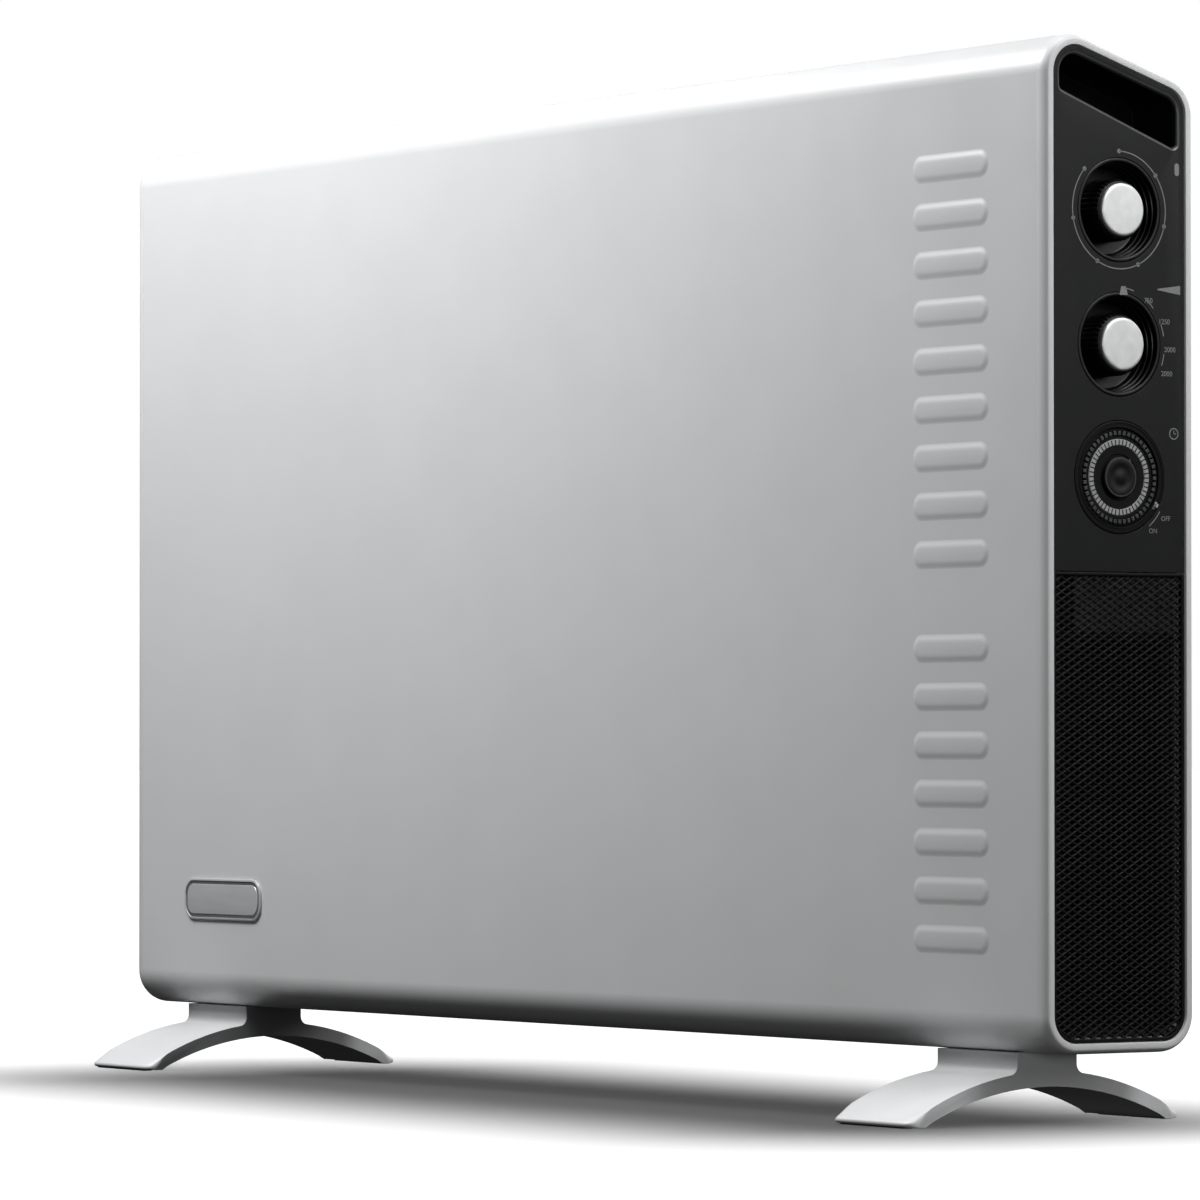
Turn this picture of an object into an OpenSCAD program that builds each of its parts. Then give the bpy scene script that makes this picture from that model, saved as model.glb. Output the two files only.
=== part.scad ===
// Slim floor-standing electric convector heater with a side control panel and two arched feet.
// +X runs to the control end, -Y is the front, +Z is up.
// The origin is on the floor, under the middle of the feet.

/* [Casing] */
// Length over both end frames
body_l = 735; // [640:5:850]
// Depth from the front face to the rear face
body_t = 78; // [76:1:90]
// Height of the front, from the underside to the top line
body_h = 425; // [410:5:470]
// Drop of the sloping top from front to rear
top_drop = 25; // [15:1:28]
// Radius of the casing's long edges
corner_r = 16; // [12:1:20]
// Thickness of the cover sheet
sheet_t = 1; // [0.8:0.1:1.4]
// Distance of the cover seam behind the front face
seam_d = 22; // [21:0.5:23]
// Width of the open seam between two covers
seam_w = 0.3; // [0.2:0.1:0.6]
// Distance of the casing's middle plane behind the feet's middle
casing_back = 13; // [8:1:16]

/* [End frames] */
// Width of the frame's flat rim around the side panel
rim_w = 4.5; // [4:0.1:5.5]
// Length of the frame that shows along the casing
frame_w = 6; // [5.5:0.5:8]
// Inward draw of the rounded outer edge at the end face
edge_draw = 1.6; // [0.8:0.1:2.2]
// Length of the spigot that carries the covers
spigot_l = 12; // [10:1:16]
// Gap between a cover and the spigot under it
spigot_gap = 0.15; // [0.1:0.05:0.3]
// Width of the ledge that the side panels seat on
ledge_w = 2.2; // [1.5:0.1:2.4]
// Thickness of that ledge
ledge_t = 2; // [1.5:0.1:2.5]
// Width of the bar behind the joint of the two side panels
bar_w = 10; // [8:1:14]

/* [Side panels] */
// Thickness of the side panels
panel_t = 2.5; // [2:0.1:3]
// Depth of the side panels below the end face
panel_recess = 0.8; // [0.4:0.1:1.5]
// Gap round the edge of a side panel
panel_gap = 0.3; // [0.2:0.05:0.5]
// Distance of the joint between the upper panel and the grille below the timer's middle
joint_step = 39.1; // [34:0.1:48]
// Border of the side grille round its slots
grille_border = 6; // [5:1:9]
// Height of a slot in the side grille
grille_slot_h = 3.4; // [2.5:0.1:4]
// Bar left between two slots of the side grille
grille_bar = 2.6; // [2:0.1:4]
// Number of slots side by side in the side grille
grille_cols = 4; // [3:1:6]

/* [Handle pockets] */
// Height of the pocket's lower edge below the top line at the front face
pocket_low = 25.5; // [23:0.5:28]
// Extra fall of the pocket's lower edge at the rear face
pocket_fall = 4; // [0:0.5:5]
// Margin between the rim and the pocket
pocket_margin = 4; // [3.9:0.1:5]
// Depth of the pocket behind its panel
pocket_d = 28; // [22:1:32]
// Wall of the pocket
pocket_wall = 1.5; // [1.2:0.1:1.6]
// Radius of the pocket's corners
pocket_r = 2; // [2:0.5:6]

/* [Knobs] */
// Diameter of a knob
knob_d = 26; // [24:1:28]
// Diameter of a knob's bright cap
cap_d = 22; // [18:1:23]
// Thickness of a knob's cap
cap_t = 2; // [1.5:0.1:2.5]
// Height of a cap's face in front of the fascia
knob_proud = 2.8; // [2:0.2:6]
// Diameter of the dish round a knob, at the fascia
dish_d = 40; // [38:0.5:42]
// Diameter of the dish's floor
dish_floor_d = 36; // [34:0.5:37]
// Depth of the dish
dish_depth = 11; // [10:0.5:12]
// Wall of the dish
dish_wall = 1.5; // [1.2:0.1:1.8]
// Number of grip flutes round a knob
flutes = 24; // [16:2:30]
// Diameter of a control shaft
shaft_d = 6; // [5:0.5:6.5]
// Running clearance round a shaft
run_gap = 0.05; // [0.02:0.01:0.09]
// Distance of the thermostat knob below the handle pocket's lower edge
thermostat_step = 39.5; // [34:0.5:44]
// Distance of the selector knob below the thermostat knob
selector_step = 55.5; // [50:0.5:60]

/* [Timer] */
// Distance of the timer's middle below the selector knob
timer_step = 54.8; // [50:0.2:60]
// Outer diameter of the timer
timer_d = 46.8; // [45:0.2:48]
// Diameter of the turning dial
dial_d = 40.4; // [39:0.2:41]
// Diameter of the fixed hub
hub_d = 17; // [14:0.5:18]
// Thickness of the fixed hub
hub_t = 1.3; // [1.2:0.1:2.4]
// Number of tappets round the dial
tappets = 48; // [24:24:48]
// Travel of the tappets
tappet_travel = 1.2; // [0.8:0.1:1.4]
// Diameter of the dial's fixed post
post_d = 6; // [5:0.5:8]
// Depth of the recess that holds the dial
recess_d = 4.7; // [4.6:0.1:5.2]
// Depth of the dial's face below the panel
dial_sink = 0.5; // [0.3:0.1:0.6]

/* [Behind the controls] */
// Distance from the dishes back to the bracket plate
plate_back = 9; // [8:0.5:14]
// Reach of the bracket above the thermostat's axis
plate_over = 17; // [16:0.5:18]
// Width and height of the thermostat's body
thermostat_w = 30; // [26:1:32]
// Width of the selector's body
selector_w = 34; // [30:1:40]
// Height of the selector's body
selector_l = 32; // [28:1:36]
// Depth of both switch bodies
switch_d = 24; // [20:1:28]
// Length of a shaft behind the bracket plate
shaft_tail = 9; // [6:0.5:14]
// Wall of a threaded bush
bush_wall = 2.2; // [1.8:0.1:2.4]
// Width of a nut round its bush
nut_w = 2.6; // [2:0.1:3]
// Thickness of a nut
nut_t = 2.5; // [2:0.1:3]
// Diameter of the timer's motor
timer_motor_d = 34; // [30:1:36]
// Depth of the timer's motor
timer_motor_t = 19; // [14:1:22]

/* [Feet] */
// Height of the casing's underside above the floor
foot_h = 30; // [28:1:36]
// Width of a foot along the casing
foot_w = 55; // [45:1:65]
// Distance of a foot from the end of the casing
foot_inset = 33; // [26:1:50]
// Length of a foot from front tip to rear tip
foot_d = 142; // [134:1:150]
// Depth of the foot's neck
neck_d = 31; // [28:1:34]
// Height of the arch under the foot
arch_h = 15.5; // [13:0.5:16]
// Radius of that arch
arch_r = 142; // [135:1:155]
// Height of the legs' upper curve at the middle
leg_h = 22; // [21.5:0.5:24]
// Radius of the legs' upper curve
leg_r = 138; // [134:1:145]
// Fillet between the neck and the legs
neck_fillet = 4; // [2:0.5:5]
// Thickness of a rubber pad
pad_t = 1.5; // [1.2:0.1:2]
// Height of the pad below the sole
pad_proud = 0.5; // [0.3:0.1:0.8]
// Depth of a pad from front to rear
pad_d = 4.4; // [3:0.1:4.6]
// Length of a pad along the foot's width
pad_l = 44; // [30:1:46]
// Diameter of the screws that hold the feet
foot_screw_d = 4.8; // [4:0.1:5]
// Distance of those screws behind the cover seam
foot_screw_back = 10; // [8:0.5:12]

/* [Top and base] */
// Length of the warm air outlet
outlet_l = 560; // [480:10:600]
// Width of the warm air outlet
outlet_w = 34; // [30:1:35]
// Distance of the outlet behind the cover seam, down the slope
outlet_back = 6; // [5:0.5:7]
// Thickness of the outlet grille's lip under the cover
lip_t = 1.2; // [1:0.1:2]
// Width of that lip
lip_w = 3; // [2:0.5:4]
// Number of slots along the outlet grille
outlet_cols = 9; // [6:1:12]
// Number of slots across the outlet grille
outlet_rows = 4; // [3:1:5]
// Thickness of the base rail
rail_t = 1.5; // [1.2:0.1:2]
// Length of an air inlet slot
inlet_l = 30; // [20:1:34]
// Width of an air inlet slot
inlet_w = 5; // [4:0.5:6]
// Number of inlet slots in a row
inlet_count = 12; // [8:1:12]
// Rows of inlet slots low on the rear cover
rear_rows = 3; // [2:1:4]
// Height of the lowest row above the underside
rear_low = 62; // [56:1:80]
// Spacing of those rows
rear_pitch = 14; // [10:0.5:18]
// Distance of the upper and lower cover screws from the casing's edges
screw_edge = 30; // [24:1:40]

/* [Front pressing and plate] */
// Distance of the ribs' middle from the end face
rib_inset = 64.5; // [60:0.5:90]
// Height of the lowest rib above the underside
rib_low = 46; // [30:1:60]
// Distance of the highest rib below the top line
rib_top = 57; // [40:0.2:70]
// Least gap between the two groups, middle to middle
rib_gap = 30; // [25:1:35]
// Length of a raised rib on the front
rib_l = 50; // [40:1:56]
// Width of a raised rib
rib_w = 9; // [6:0.5:10]
// Height of a raised rib
rib_t = 0.6; // [0.5:0.1:1.2]
// Spacing of the ribs
rib_pitch = 20.2; // [14:0.1:20.5]
// Ribs in the lower group
ribs_low = 7; // [4:1:7]
// Ribs in the upper group
ribs_high = 9; // [6:1:9]
// Distance of the blank plate's middle from the end face
plate_inset = 84; // [60:1:120]
// Height of the blank plate's middle above the underside
plate_up = 52; // [40:0.5:80]
// Width of the blank plate
plate_w = 71; // [60:1:90]
// Height of the blank plate
plate_h = 20; // [16:0.5:26]
// Thickness of the blank plate
plate_t = 1.2; // [1:0.1:2]
// Radius of the plate's corners
plate_r = 8; // [2:0.5:8]

/* [Heating] */
// Distance from the end face to each element bracket
bracket_inset = 105.5; // [101:0.5:125]
// Thickness of the steel brackets
bracket_t = 1.2; // [1:0.1:1.5]
// Height of the lower element above the underside
element_low_h = 48; // [44:1:50]
// Spacing of the two elements
element_step = 46; // [44:1:50]
// Diameter of an element's core
core_d = 12; // [10:0.5:14]
// Length of an element's fins from its middle
fin_l = 20; // [16:0.5:20]
// Thickness of the fins
fin_t = 1.6; // [1.2:0.1:2]
// Angle of the fins above and below level
fin_angle = 35; // [28:1:42]
// Number of cross slots in the fins
fin_cuts = 17; // [9:2:23]
// Diameter of the terminal pins
pin_d = 5; // [4:0.5:6]
// Reach of a ceramic bush to each side of its bracket
bush_l = 9; // [7:0.5:11]
// Wall of a ceramic bush
ceramic_wall = 2.4; // [2:0.1:3]
// Width of a ceramic bush's collar
collar_w = 2.6; // [2:0.1:3.4]
// Thickness of that collar
collar_t = 2.5; // [2:0.1:3]
// Distance of the heat shields inside the covers
shield_gap = 5; // [4:0.5:6]
// Thickness of the heat shields
shield_t = 0.6; // [0.5:0.1:0.8]
// Height of the heat shields' lower edge above the base rail
shield_low = 12; // [8:1:20]
// Distance of the heat shields' upper edge below the rear top edge
shield_down = 45.5; // [40:0.5:90]
// Distance of the thermal cut-out from the middle
cutout_x = 120; // [60:5:180]
// Height of the thermal cut-out above the upper element
cutout_up = 70; // [50:1:90]

/* [Wiring] */
// Distance of the cord gland from the end face
gland_inset = 80; // [76:1:90]
// Height of the cord gland above the underside
gland_up = 32; // [26:1:45]
// Radius of the cord gland's hole
gland_r = 7; // [6:0.5:8]
// Radius of the wire bundle
loom_r = 3; // [2:0.5:3]
// Distance of the upright wire run from the end face
riser_inset = 72; // [68:1:74]
// Width of one pole of the terminal block
pole_w = 8; // [7:0.5:8]
// Length of the terminal block
block_l = 20; // [16:1:20]

/* [Blowers] */
// Diameter of a blower rotor
rotor_d = 40; // [34:1:44]
// Space between a rotor and the ledge behind its grille
outlet_gap = 11.7; // [8:0.1:16]
// Space behind a rotor
duct_back_gap = 4; // [3:0.5:6]
// Space in front of and behind a rotor, across the casing
duct_side_gap = 7; // [5:0.5:8]
// Height of a blower's duct above the underside
duct_low = 14; // [12:1:20]
// Gap between a blower's duct and the bar behind the panel joint
duct_high_gap = 21.5; // [10:0.5:40]
// Space over and under a rotor and over its motor
end_gap = 6; // [4:0.5:8]
// Number of blades
blades = 18; // [12:2:24]
// Diameter of the rotor shaft
spindle_d = 5; // [4:0.5:6]
// Diameter of the blower motor
motor_d = 34; // [30:1:38]
// Height of the blower motor
motor_h = 24; // [20:1:26]

/* [Hidden] */

// Overshoot of a cut past the face it opens
cut = 1;
// Thickness of a slice that shapes a rounded edge
skin = 0.02;
$fn = 48;

// Planes of the casing
face_x = body_l / 2;
foot_x = face_x - foot_inset - foot_w / 2;
front_y = casing_back - body_t / 2;
rear_y = casing_back + body_t / 2;
base_z = foot_h;
top_z = foot_h + body_h;
slope = atan(top_drop / body_t);
seam_y = front_y + seam_d;
cover_x = face_x - frame_w;
function top_line(y) = top_z - (y - front_y) * top_drop / body_t;

// Planes of the end frames and side panels
panel_x = face_x - panel_recess;
seat_x = panel_x - panel_t;
ledge_x = seat_x - ledge_t;
spigot_x = cover_x - spigot_l;
pocket_inset = rim_w + pocket_margin;

// Planes of the controls
thermostat_z = top_line(casing_back) - pocket_low - thermostat_step;
selector_z = thermostat_z - selector_step;
timer_z = selector_z - timer_step;
split_z = timer_z - joint_step;
shaft_gap = 0.2;
dish_x = panel_x - dish_depth;
dish_r = dish_d / 2 + dish_wall;
cap_x = panel_x + knob_proud;
knob_back_x = dish_x + 0.8;
plate_x = dish_x - dish_wall - plate_back;
bush_r = shaft_d / 2 + bush_wall;
shaft_end_x = plate_x - shaft_tail;
timer_back_x = plate_x;
timer_front_x = panel_x + 0.2;
recess_x = panel_x - recess_d;
dial_front_x = panel_x - dial_sink;
tappet_ring_t = 0.8;
groove_d = tappet_ring_t + tappet_travel + 1;
groove_x = dial_front_x - groove_d;
hub_gap = 0.2;
hub_socket = 0.6;
groove_in_r = dial_d / 2 - 3;
groove_out_r = dial_d / 2 - 0.8;
slider_gap = 0.1;
slider_in_r = dial_d / 2 + 0.9;
slider_out_r = timer_d / 2 - 0.9;

// Planes inside the casing
inner_z = base_z + sheet_t;
rail_z = inner_z + rail_t;
baffle_y = front_y + sheet_t + shield_gap;
shield_y = rear_y - sheet_t - shield_gap;
shield_z = rail_z + shield_low;
shield_h = top_line(rear_y) - shield_down - shield_z;
bracket_x = face_x - bracket_inset;
loom_y = shield_y - 2 - loom_r;
loom_z = rail_z + 3 + loom_r;
riser_x = face_x - riser_inset;
gland_x = face_x - gland_inset;
gland_z = base_z + gland_up;

// Planes of a blower
rotor_x = ledge_x - outlet_gap - rotor_d / 2;
duct_back_x = rotor_x - rotor_d / 2 - duct_back_gap;
duct_half = rotor_d / 2 + duct_side_gap;
duct_wall = 1.6;
duct_z = base_z + duct_low;
duct_top_z = split_z - bar_w / 2 - duct_high_gap;
motor_z = duct_top_z - end_gap - motor_h;
rotor_z = duct_z + end_gap;
rotor_l = motor_z - end_gap - rotor_z;

// Extrudes a drawing of depth and height along the casing
module along_x(x0, x1) {
    translate([x0, 0, 0]) rotate([90, 0, 90]) linear_extrude(x1 - x0) children();
}

// Places a turned shape on the control axis at height z, its own axis along +X
module on_panel(x, z) {
    translate([x, casing_back, z]) rotate([90, 0, 90]) children();
}

// Places a shape on the sloping top: its y runs down the slope and its z stands off the sheet
module on_top() {
    translate([0, front_y, top_z]) rotate([-slope, 0, 0]) children();
}

module mirrored() {
    mirror([1, 0, 0]) children();
}

// Section of the casing, drawn in by an inset
module outline(inset = 0) {
    r = max(corner_r - inset, 2);
    offset(r = r, $fn = 64)
        offset(delta = -(inset + r))
            polygon([[front_y, base_z], [rear_y, base_z], [rear_y, top_line(rear_y)], [front_y, top_z]]);
}

module sheet_section() {
    difference() {
        outline(0);
        outline(sheet_t);
    }
}

// Rounded bar of a given length and width, centred
module pill(l, w, fn = 20) {
    offset(r = w / 2 - 0.05, $fn = fn) square([l - w + 0.1, 0.1], center = true);
}

// Area of the handle pocket, grown by a wall
module pocket_area(grow = 0) {
    offset(r = pocket_r + grow, $fn = 32)
        offset(delta = -pocket_r)
            intersection() {
                outline(pocket_inset);
                polygon([
                    [front_y, top_line(front_y) - pocket_low],
                    [rear_y, top_line(rear_y) - pocket_low - pocket_fall],
                    [rear_y, top_z + cut], [front_y, top_z + cut],
                ]);
            }
}

module front_cover() {
    rib_x = face_x - rib_inset;
    low_z = base_z + rib_low;
    high_z = top_z - rib_top - (ribs_high - 1) * rib_pitch;
    low_count = min(ribs_low, floor((high_z - rib_gap - low_z) / rib_pitch) + 1);
    color("#c9cacb") {
        along_x(-cover_x, cover_x)
            intersection() {
                sheet_section();
                translate([front_y - cut, base_z - cut])
                    square([seam_d - seam_w / 2 + cut, body_h + 2 * cut]);
            }
        for (i = [0 : low_count - 1])
            translate([rib_x, front_y, low_z + i * rib_pitch])
                rotate([90, 0, 0]) linear_extrude(rib_t) pill(rib_l, rib_w);
        for (i = [0 : ribs_high - 1])
            translate([rib_x, front_y, high_z + i * rib_pitch])
                rotate([90, 0, 0]) linear_extrude(rib_t) pill(rib_l, rib_w);
    }
}

// Slots in the casing's underside, shared by the rear cover and the base rail
module base_inlets(z0, h) {
    pitch = (2 * bracket_x - 2 * inlet_l) / (inlet_count - 1);
    for (i = [0 : inlet_count - 1])
        for (y = [seam_y + 12, seam_y + 26])
            translate([(i - (inlet_count - 1) / 2) * pitch, y, z0])
                linear_extrude(h) pill(inlet_l, inlet_w);
}

// Seats for the foot screws, at both feet
module at_foot_screws() {
    for (side = [-1, 1])
        for (dx = [-foot_w / 4, foot_w / 4])
            translate([side * foot_x + dx, seam_y + foot_screw_back, 0]) children();
}

// Seats for the cover screws on the rear, their axes along +Y
module at_cover_screws() {
    for (side = [-1, 1])
        for (z = [base_z + screw_edge, base_z + body_h / 2, top_line(rear_y) - screw_edge])
            translate([side * (cover_x - spigot_l / 2), rear_y, z]) rotate([-90, 0, 0]) children();
}

module rear_cover() {
    slot_pitch = (2 * bracket_x - inlet_l) / (inlet_count - 1);
    rear_z = base_z + rear_low;
    color("#bfc0c1") difference() {
        along_x(-cover_x, cover_x)
            intersection() {
                sheet_section();
                translate([seam_y + seam_w / 2, base_z - cut]) square([body_t, body_h + 2 * cut]);
            }
        on_top() translate([0, seam_d + outlet_back + outlet_w / 2, 0])
            cube([outlet_l, outlet_w, 4 * sheet_t], center = true);
        base_inlets(base_z - cut, sheet_t + 2 * cut);
        at_foot_screws() translate([0, 0, base_z - cut])
            cylinder(d = foot_screw_d + 0.4, h = sheet_t + 2 * cut);
        at_cover_screws() translate([0, 0, -sheet_t - cut]) cylinder(r = 1.7, h = sheet_t + 2 * cut);
        for (i = [0 : inlet_count - 1])
            for (j = [0 : rear_rows - 1])
                translate([(i - (inlet_count - 1) / 2) * slot_pitch, rear_y + cut, rear_z + j * rear_pitch])
                    rotate([90, 0, 0]) linear_extrude(sheet_t + 2 * cut) pill(inlet_l, inlet_w);
        translate([gland_x, rear_y - sheet_t - cut, gland_z])
            rotate([-90, 0, 0]) cylinder(r = gland_r, h = sheet_t + 2 * cut);
    }
}

module top_grille() {
    col_pitch = (outlet_l - 12) / outlet_cols;
    row_pitch = (outlet_w - 6) / outlet_rows;
    color("#6d6f71") on_top() translate([0, seam_d + outlet_back + outlet_w / 2, 0]) difference() {
        union() {
            translate([0, 0, -sheet_t / 2])
                cube([outlet_l - 2 * panel_gap, outlet_w - 2 * panel_gap, sheet_t], center = true);
            translate([0, 0, -sheet_t - lip_t / 2])
                cube([outlet_l + 2 * lip_w, outlet_w + 2 * lip_w, lip_t], center = true);
        }
        for (i = [0 : outlet_cols - 1])
            for (j = [0 : outlet_rows - 1])
                translate([
                    (i - (outlet_cols - 1) / 2) * col_pitch,
                    (j - (outlet_rows - 1) / 2) * row_pitch,
                    -sheet_t - lip_t - cut,
                ])
                    linear_extrude(sheet_t + lip_t + 2 * cut) pill(col_pitch - 5, row_pitch - 3);
    }
}

module base_rail() {
    color("#9fa3a6") difference() {
        translate([-spigot_x + 2, seam_y + 2, inner_z])
            cube([2 * spigot_x - 4, rear_y - corner_r - seam_y - 3, rail_t]);
        base_inlets(inner_z - cut, rail_t + 2 * cut);
        at_foot_screws() translate([0, 0, inner_z - cut]) cylinder(d = foot_screw_d, h = rail_t + 2 * cut);
    }
}

// Thin slice of a drawing at one place along the casing
module slice(x) {
    along_x(x, x + skin) children();
}

module end_frame() {
    color("#d4d5d6") {
        difference() {
            union() {
                hull() {
                    slice(cover_x) outline(0);
                    slice(face_x - frame_w * 0.45) outline(edge_draw * 0.2);
                    slice(face_x - frame_w * 0.15) outline(edge_draw * 0.55);
                    slice(face_x - skin) outline(edge_draw);
                }
                along_x(spigot_x, cover_x) outline(sheet_t + spigot_gap);
            }
            along_x(seat_x, face_x + cut) outline(rim_w);
            along_x(ledge_x - cut, seat_x + cut) outline(rim_w + ledge_w);
            along_x(spigot_x - cut, ledge_x) outline(rim_w);
            at_cover_screws() translate([0, 0, -rim_w - 2]) cylinder(r = 1.5, h = rim_w + 2);
        }
        along_x(ledge_x, seat_x)
            intersection() {
                outline(rim_w + ledge_w / 2);
                translate([front_y, split_z - bar_w / 2]) square([body_t, bar_w]);
            }
    }
}

module right_end_frame() {
    end_frame();
}

module left_end_frame() {
    mirrored() end_frame();
}

// Area of a side panel between two heights
module panel_area(z0, z1) {
    intersection() {
        outline(rim_w + panel_gap);
        translate([front_y, z0]) square([body_t, z1 - z0]);
    }
}

// Dish insert round a knob, held behind the panel by its flange
module dish(z) {
    bore = bush_r + 0.3;
    floor_r = dish_floor_d / 2;
    flange_z = -panel_t - 1.6;
    color("#141415") on_panel(panel_x, z) rotate_extrude() polygon([
        [bore, -dish_depth - dish_wall], [floor_r + dish_wall, -dish_depth - dish_wall],
        [dish_r - 0.4, flange_z], [dish_r + 2.5, flange_z], [dish_r + 2.5, -panel_t],
        [dish_r, -panel_t], [dish_r, 0], [dish_d / 2, 0], [floor_r, -dish_depth], [bore, -dish_depth],
    ]);
}

module thermostat_dish() {
    dish(thermostat_z);
}

module selector_dish() {
    dish(selector_z);
}

module upper_panel() {
    along_x(seat_x, panel_x)
        difference() {
            panel_area(split_z + panel_gap / 2, top_z);
            pocket_area();
        }
}

module control_fascia() {
    color("#2f3032") difference() {
        upper_panel();
        for (z = [thermostat_z, selector_z])
            on_panel(seat_x - cut, z) cylinder(r = dish_r + shaft_gap, h = panel_t + 2 * cut);
        on_panel(seat_x - cut, timer_z) cylinder(r = timer_d / 2 + shaft_gap, h = panel_t + 2 * cut);
    }
}

module left_panel() {
    color("#2f3032") mirrored() upper_panel();
}

// Slotted grille that fills the side below the upper panel
module side_grille() {
    low = base_z + rim_w + grille_border + 3;
    high = split_z - grille_border;
    rows = floor((high - low) / (grille_slot_h + grille_bar));
    span = body_t - 2 * (rim_w + grille_border);
    pitch = span / grille_cols;
    difference() {
        along_x(seat_x, panel_x) panel_area(base_z, split_z - panel_gap / 2);
        for (i = [0 : grille_cols - 1])
            for (j = [0 : rows - 1])
                translate([
                    seat_x - cut,
                    front_y + rim_w + grille_border + i * pitch + grille_bar / 2,
                    low + j * (grille_slot_h + grille_bar),
                ])
                    cube([panel_t + 2 * cut, pitch - grille_bar, grille_slot_h]);
    }
}

module right_grille() {
    color("#1d1e1f") side_grille();
}

module left_grille() {
    color("#1d1e1f") mirrored() side_grille();
}

module handle_cup() {
    color("#141415") difference() {
        along_x(seat_x - pocket_d, seat_x) pocket_area(pocket_wall);
        along_x(seat_x - pocket_d + pocket_wall, seat_x + cut) pocket_area();
    }
}

module right_handle_cup() {
    handle_cup();
}

module left_handle_cup() {
    mirrored() handle_cup();
}

module badge_plate() {
    inner = 2;
    x = -face_x + plate_inset;
    z = base_z + plate_up;
    color("#9a9c9e") translate([x, front_y, z]) rotate([90, 0, 0]) difference() {
        linear_extrude(plate_t) offset(r = plate_r)
            square([plate_w - 2 * plate_r, plate_h - 2 * plate_r], center = true);
        translate([0, 0, plate_t - 0.5]) linear_extrude(plate_t) offset(r = plate_r - inner / 2)
            square([plate_w - 2 * plate_r - inner, plate_h - 2 * plate_r - inner], center = true);
    }
}

// Side view of a foot: y from front to rear, height up
module foot_section() {
    half = foot_d / 2;
    difference() {
        offset(r = 1, $fn = 24) offset(delta = -1)
            offset(r = -neck_fillet, $fn = 32) offset(delta = neck_fillet)
                union() {
                    intersection() {
                        translate([0, leg_h - leg_r]) circle(r = leg_r, $fn = 240);
                        translate([-half, pad_proud]) square([foot_d, foot_h]);
                    }
                    translate([-neck_d / 2, pad_proud]) square([neck_d, foot_h - pad_proud + 1]);
                }
        translate([0, arch_h - arch_r]) circle(r = arch_r, $fn = 240);
        translate([-half, foot_h]) square([foot_d, foot_h]);
    }
}

// Seats for the pads under one foot
module at_foot_pads(side) {
    for (end = [-1, 1])
        translate([side * foot_x, end * (foot_d / 2 - 1 - pad_d / 2), 0]) children();
}

module foot(side) {
    color("#d0d1d2") difference() {
        translate([side * foot_x - foot_w / 2, 0, 0])
            along_x(0, foot_w) foot_section();
        at_foot_pads(side) translate([-pad_l / 2, -pad_d / 2, 0]) cube([pad_l, pad_d, pad_t]);
        at_foot_screws() translate([0, 0, pad_proud]) cylinder(d = foot_screw_d + 0.4, h = foot_h);
        at_foot_screws() translate([0, 0, pad_proud]) cylinder(d = foot_screw_d + 5, h = arch_h + 5);
    }
}

module left_foot() {
    foot(-1);
}

module right_foot() {
    foot(1);
}

module foot_pads() {
    color("#1b1b1c")
        for (side = [-1, 1])
            at_foot_pads(side) translate([-pad_l / 2, -pad_d / 2, 0]) cube([pad_l, pad_d, pad_t]);
}

module foot_screws() {
    seat = pad_proud + arch_h + 5;
    color("#8b8f92") at_foot_screws() {
        translate([0, 0, seat]) cylinder(d = foot_screw_d - 0.04, h = rail_z + 3 - seat);
        translate([0, 0, seat - 3]) difference() {
            cylinder(d = foot_screw_d + 4, h = 3);
            translate([0, 0, -cut]) cylinder(r = 1.6, h = cut + 1.6, $fn = 6);
        }
    }
}

module cover_screws() {
    reach = rim_w - 0.4;
    color("#8b8f92") at_cover_screws() {
        translate([0, 0, -reach]) cylinder(r = 1.48, h = reach);
        difference() {
            cylinder(r = 3, h = 1.6);
            for (turn = [0, 90]) rotate(turn) translate([-2, -0.4, 0.8]) cube([4, 0.8, cut]);
        }
    }
}

module cord_gland() {
    color("#202122") translate([gland_x, rear_y, gland_z]) rotate([-90, 0, 0]) rotate_extrude() polygon([
        [4, -8], [6.8, -8], [6.8, -2.2], [gland_r - 0.1, -sheet_t], [gland_r - 0.1, 0],
        [10, 0], [10, 1.5], [8, 3.5], [5, 3.5], [4, 2.5],
    ]);
}

module terminal_block() {
    poles = 3;
    front = loom_y - loom_r - 4 - poles * pole_w;
    color("#e6e1d4") translate([bracket_x + 5, front, rail_z]) difference() {
        cube([block_l, poles * pole_w, 13]);
        for (i = [0 : poles - 1])
            for (x = [6, block_l - 6])
                translate([x, (i + 0.5) * pole_w, 7]) cylinder(r = 2, h = 7);
    }
}

// Straight stretch of the wire bundle between two points, with a round end
module wire_run(from, to) {
    d = to - from;
    along = norm(d);
    turn = [0, acos(d[2] / along), atan2(d[1], d[0])];
    translate(from) rotate(turn) cylinder(r = loom_r, h = along);
    translate(to) sphere(r = loom_r);
}

module wiring_loom() {
    left_x = -riser_x;
    end_x = plate_x - switch_d - bracket_t - loom_r - 1;
    color("#3c3d40") {
        wire_run([left_x, loom_y, motor_z], [left_x, loom_y, loom_z]);
        wire_run([left_x, loom_y, loom_z], [riser_x, loom_y, loom_z]);
        wire_run([riser_x, loom_y, loom_z], [riser_x, loom_y, selector_z]);
        wire_run([riser_x, loom_y, selector_z], [riser_x, casing_back, selector_z]);
        wire_run([riser_x, casing_back, selector_z], [end_x, casing_back, selector_z]);
    }
}

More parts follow.
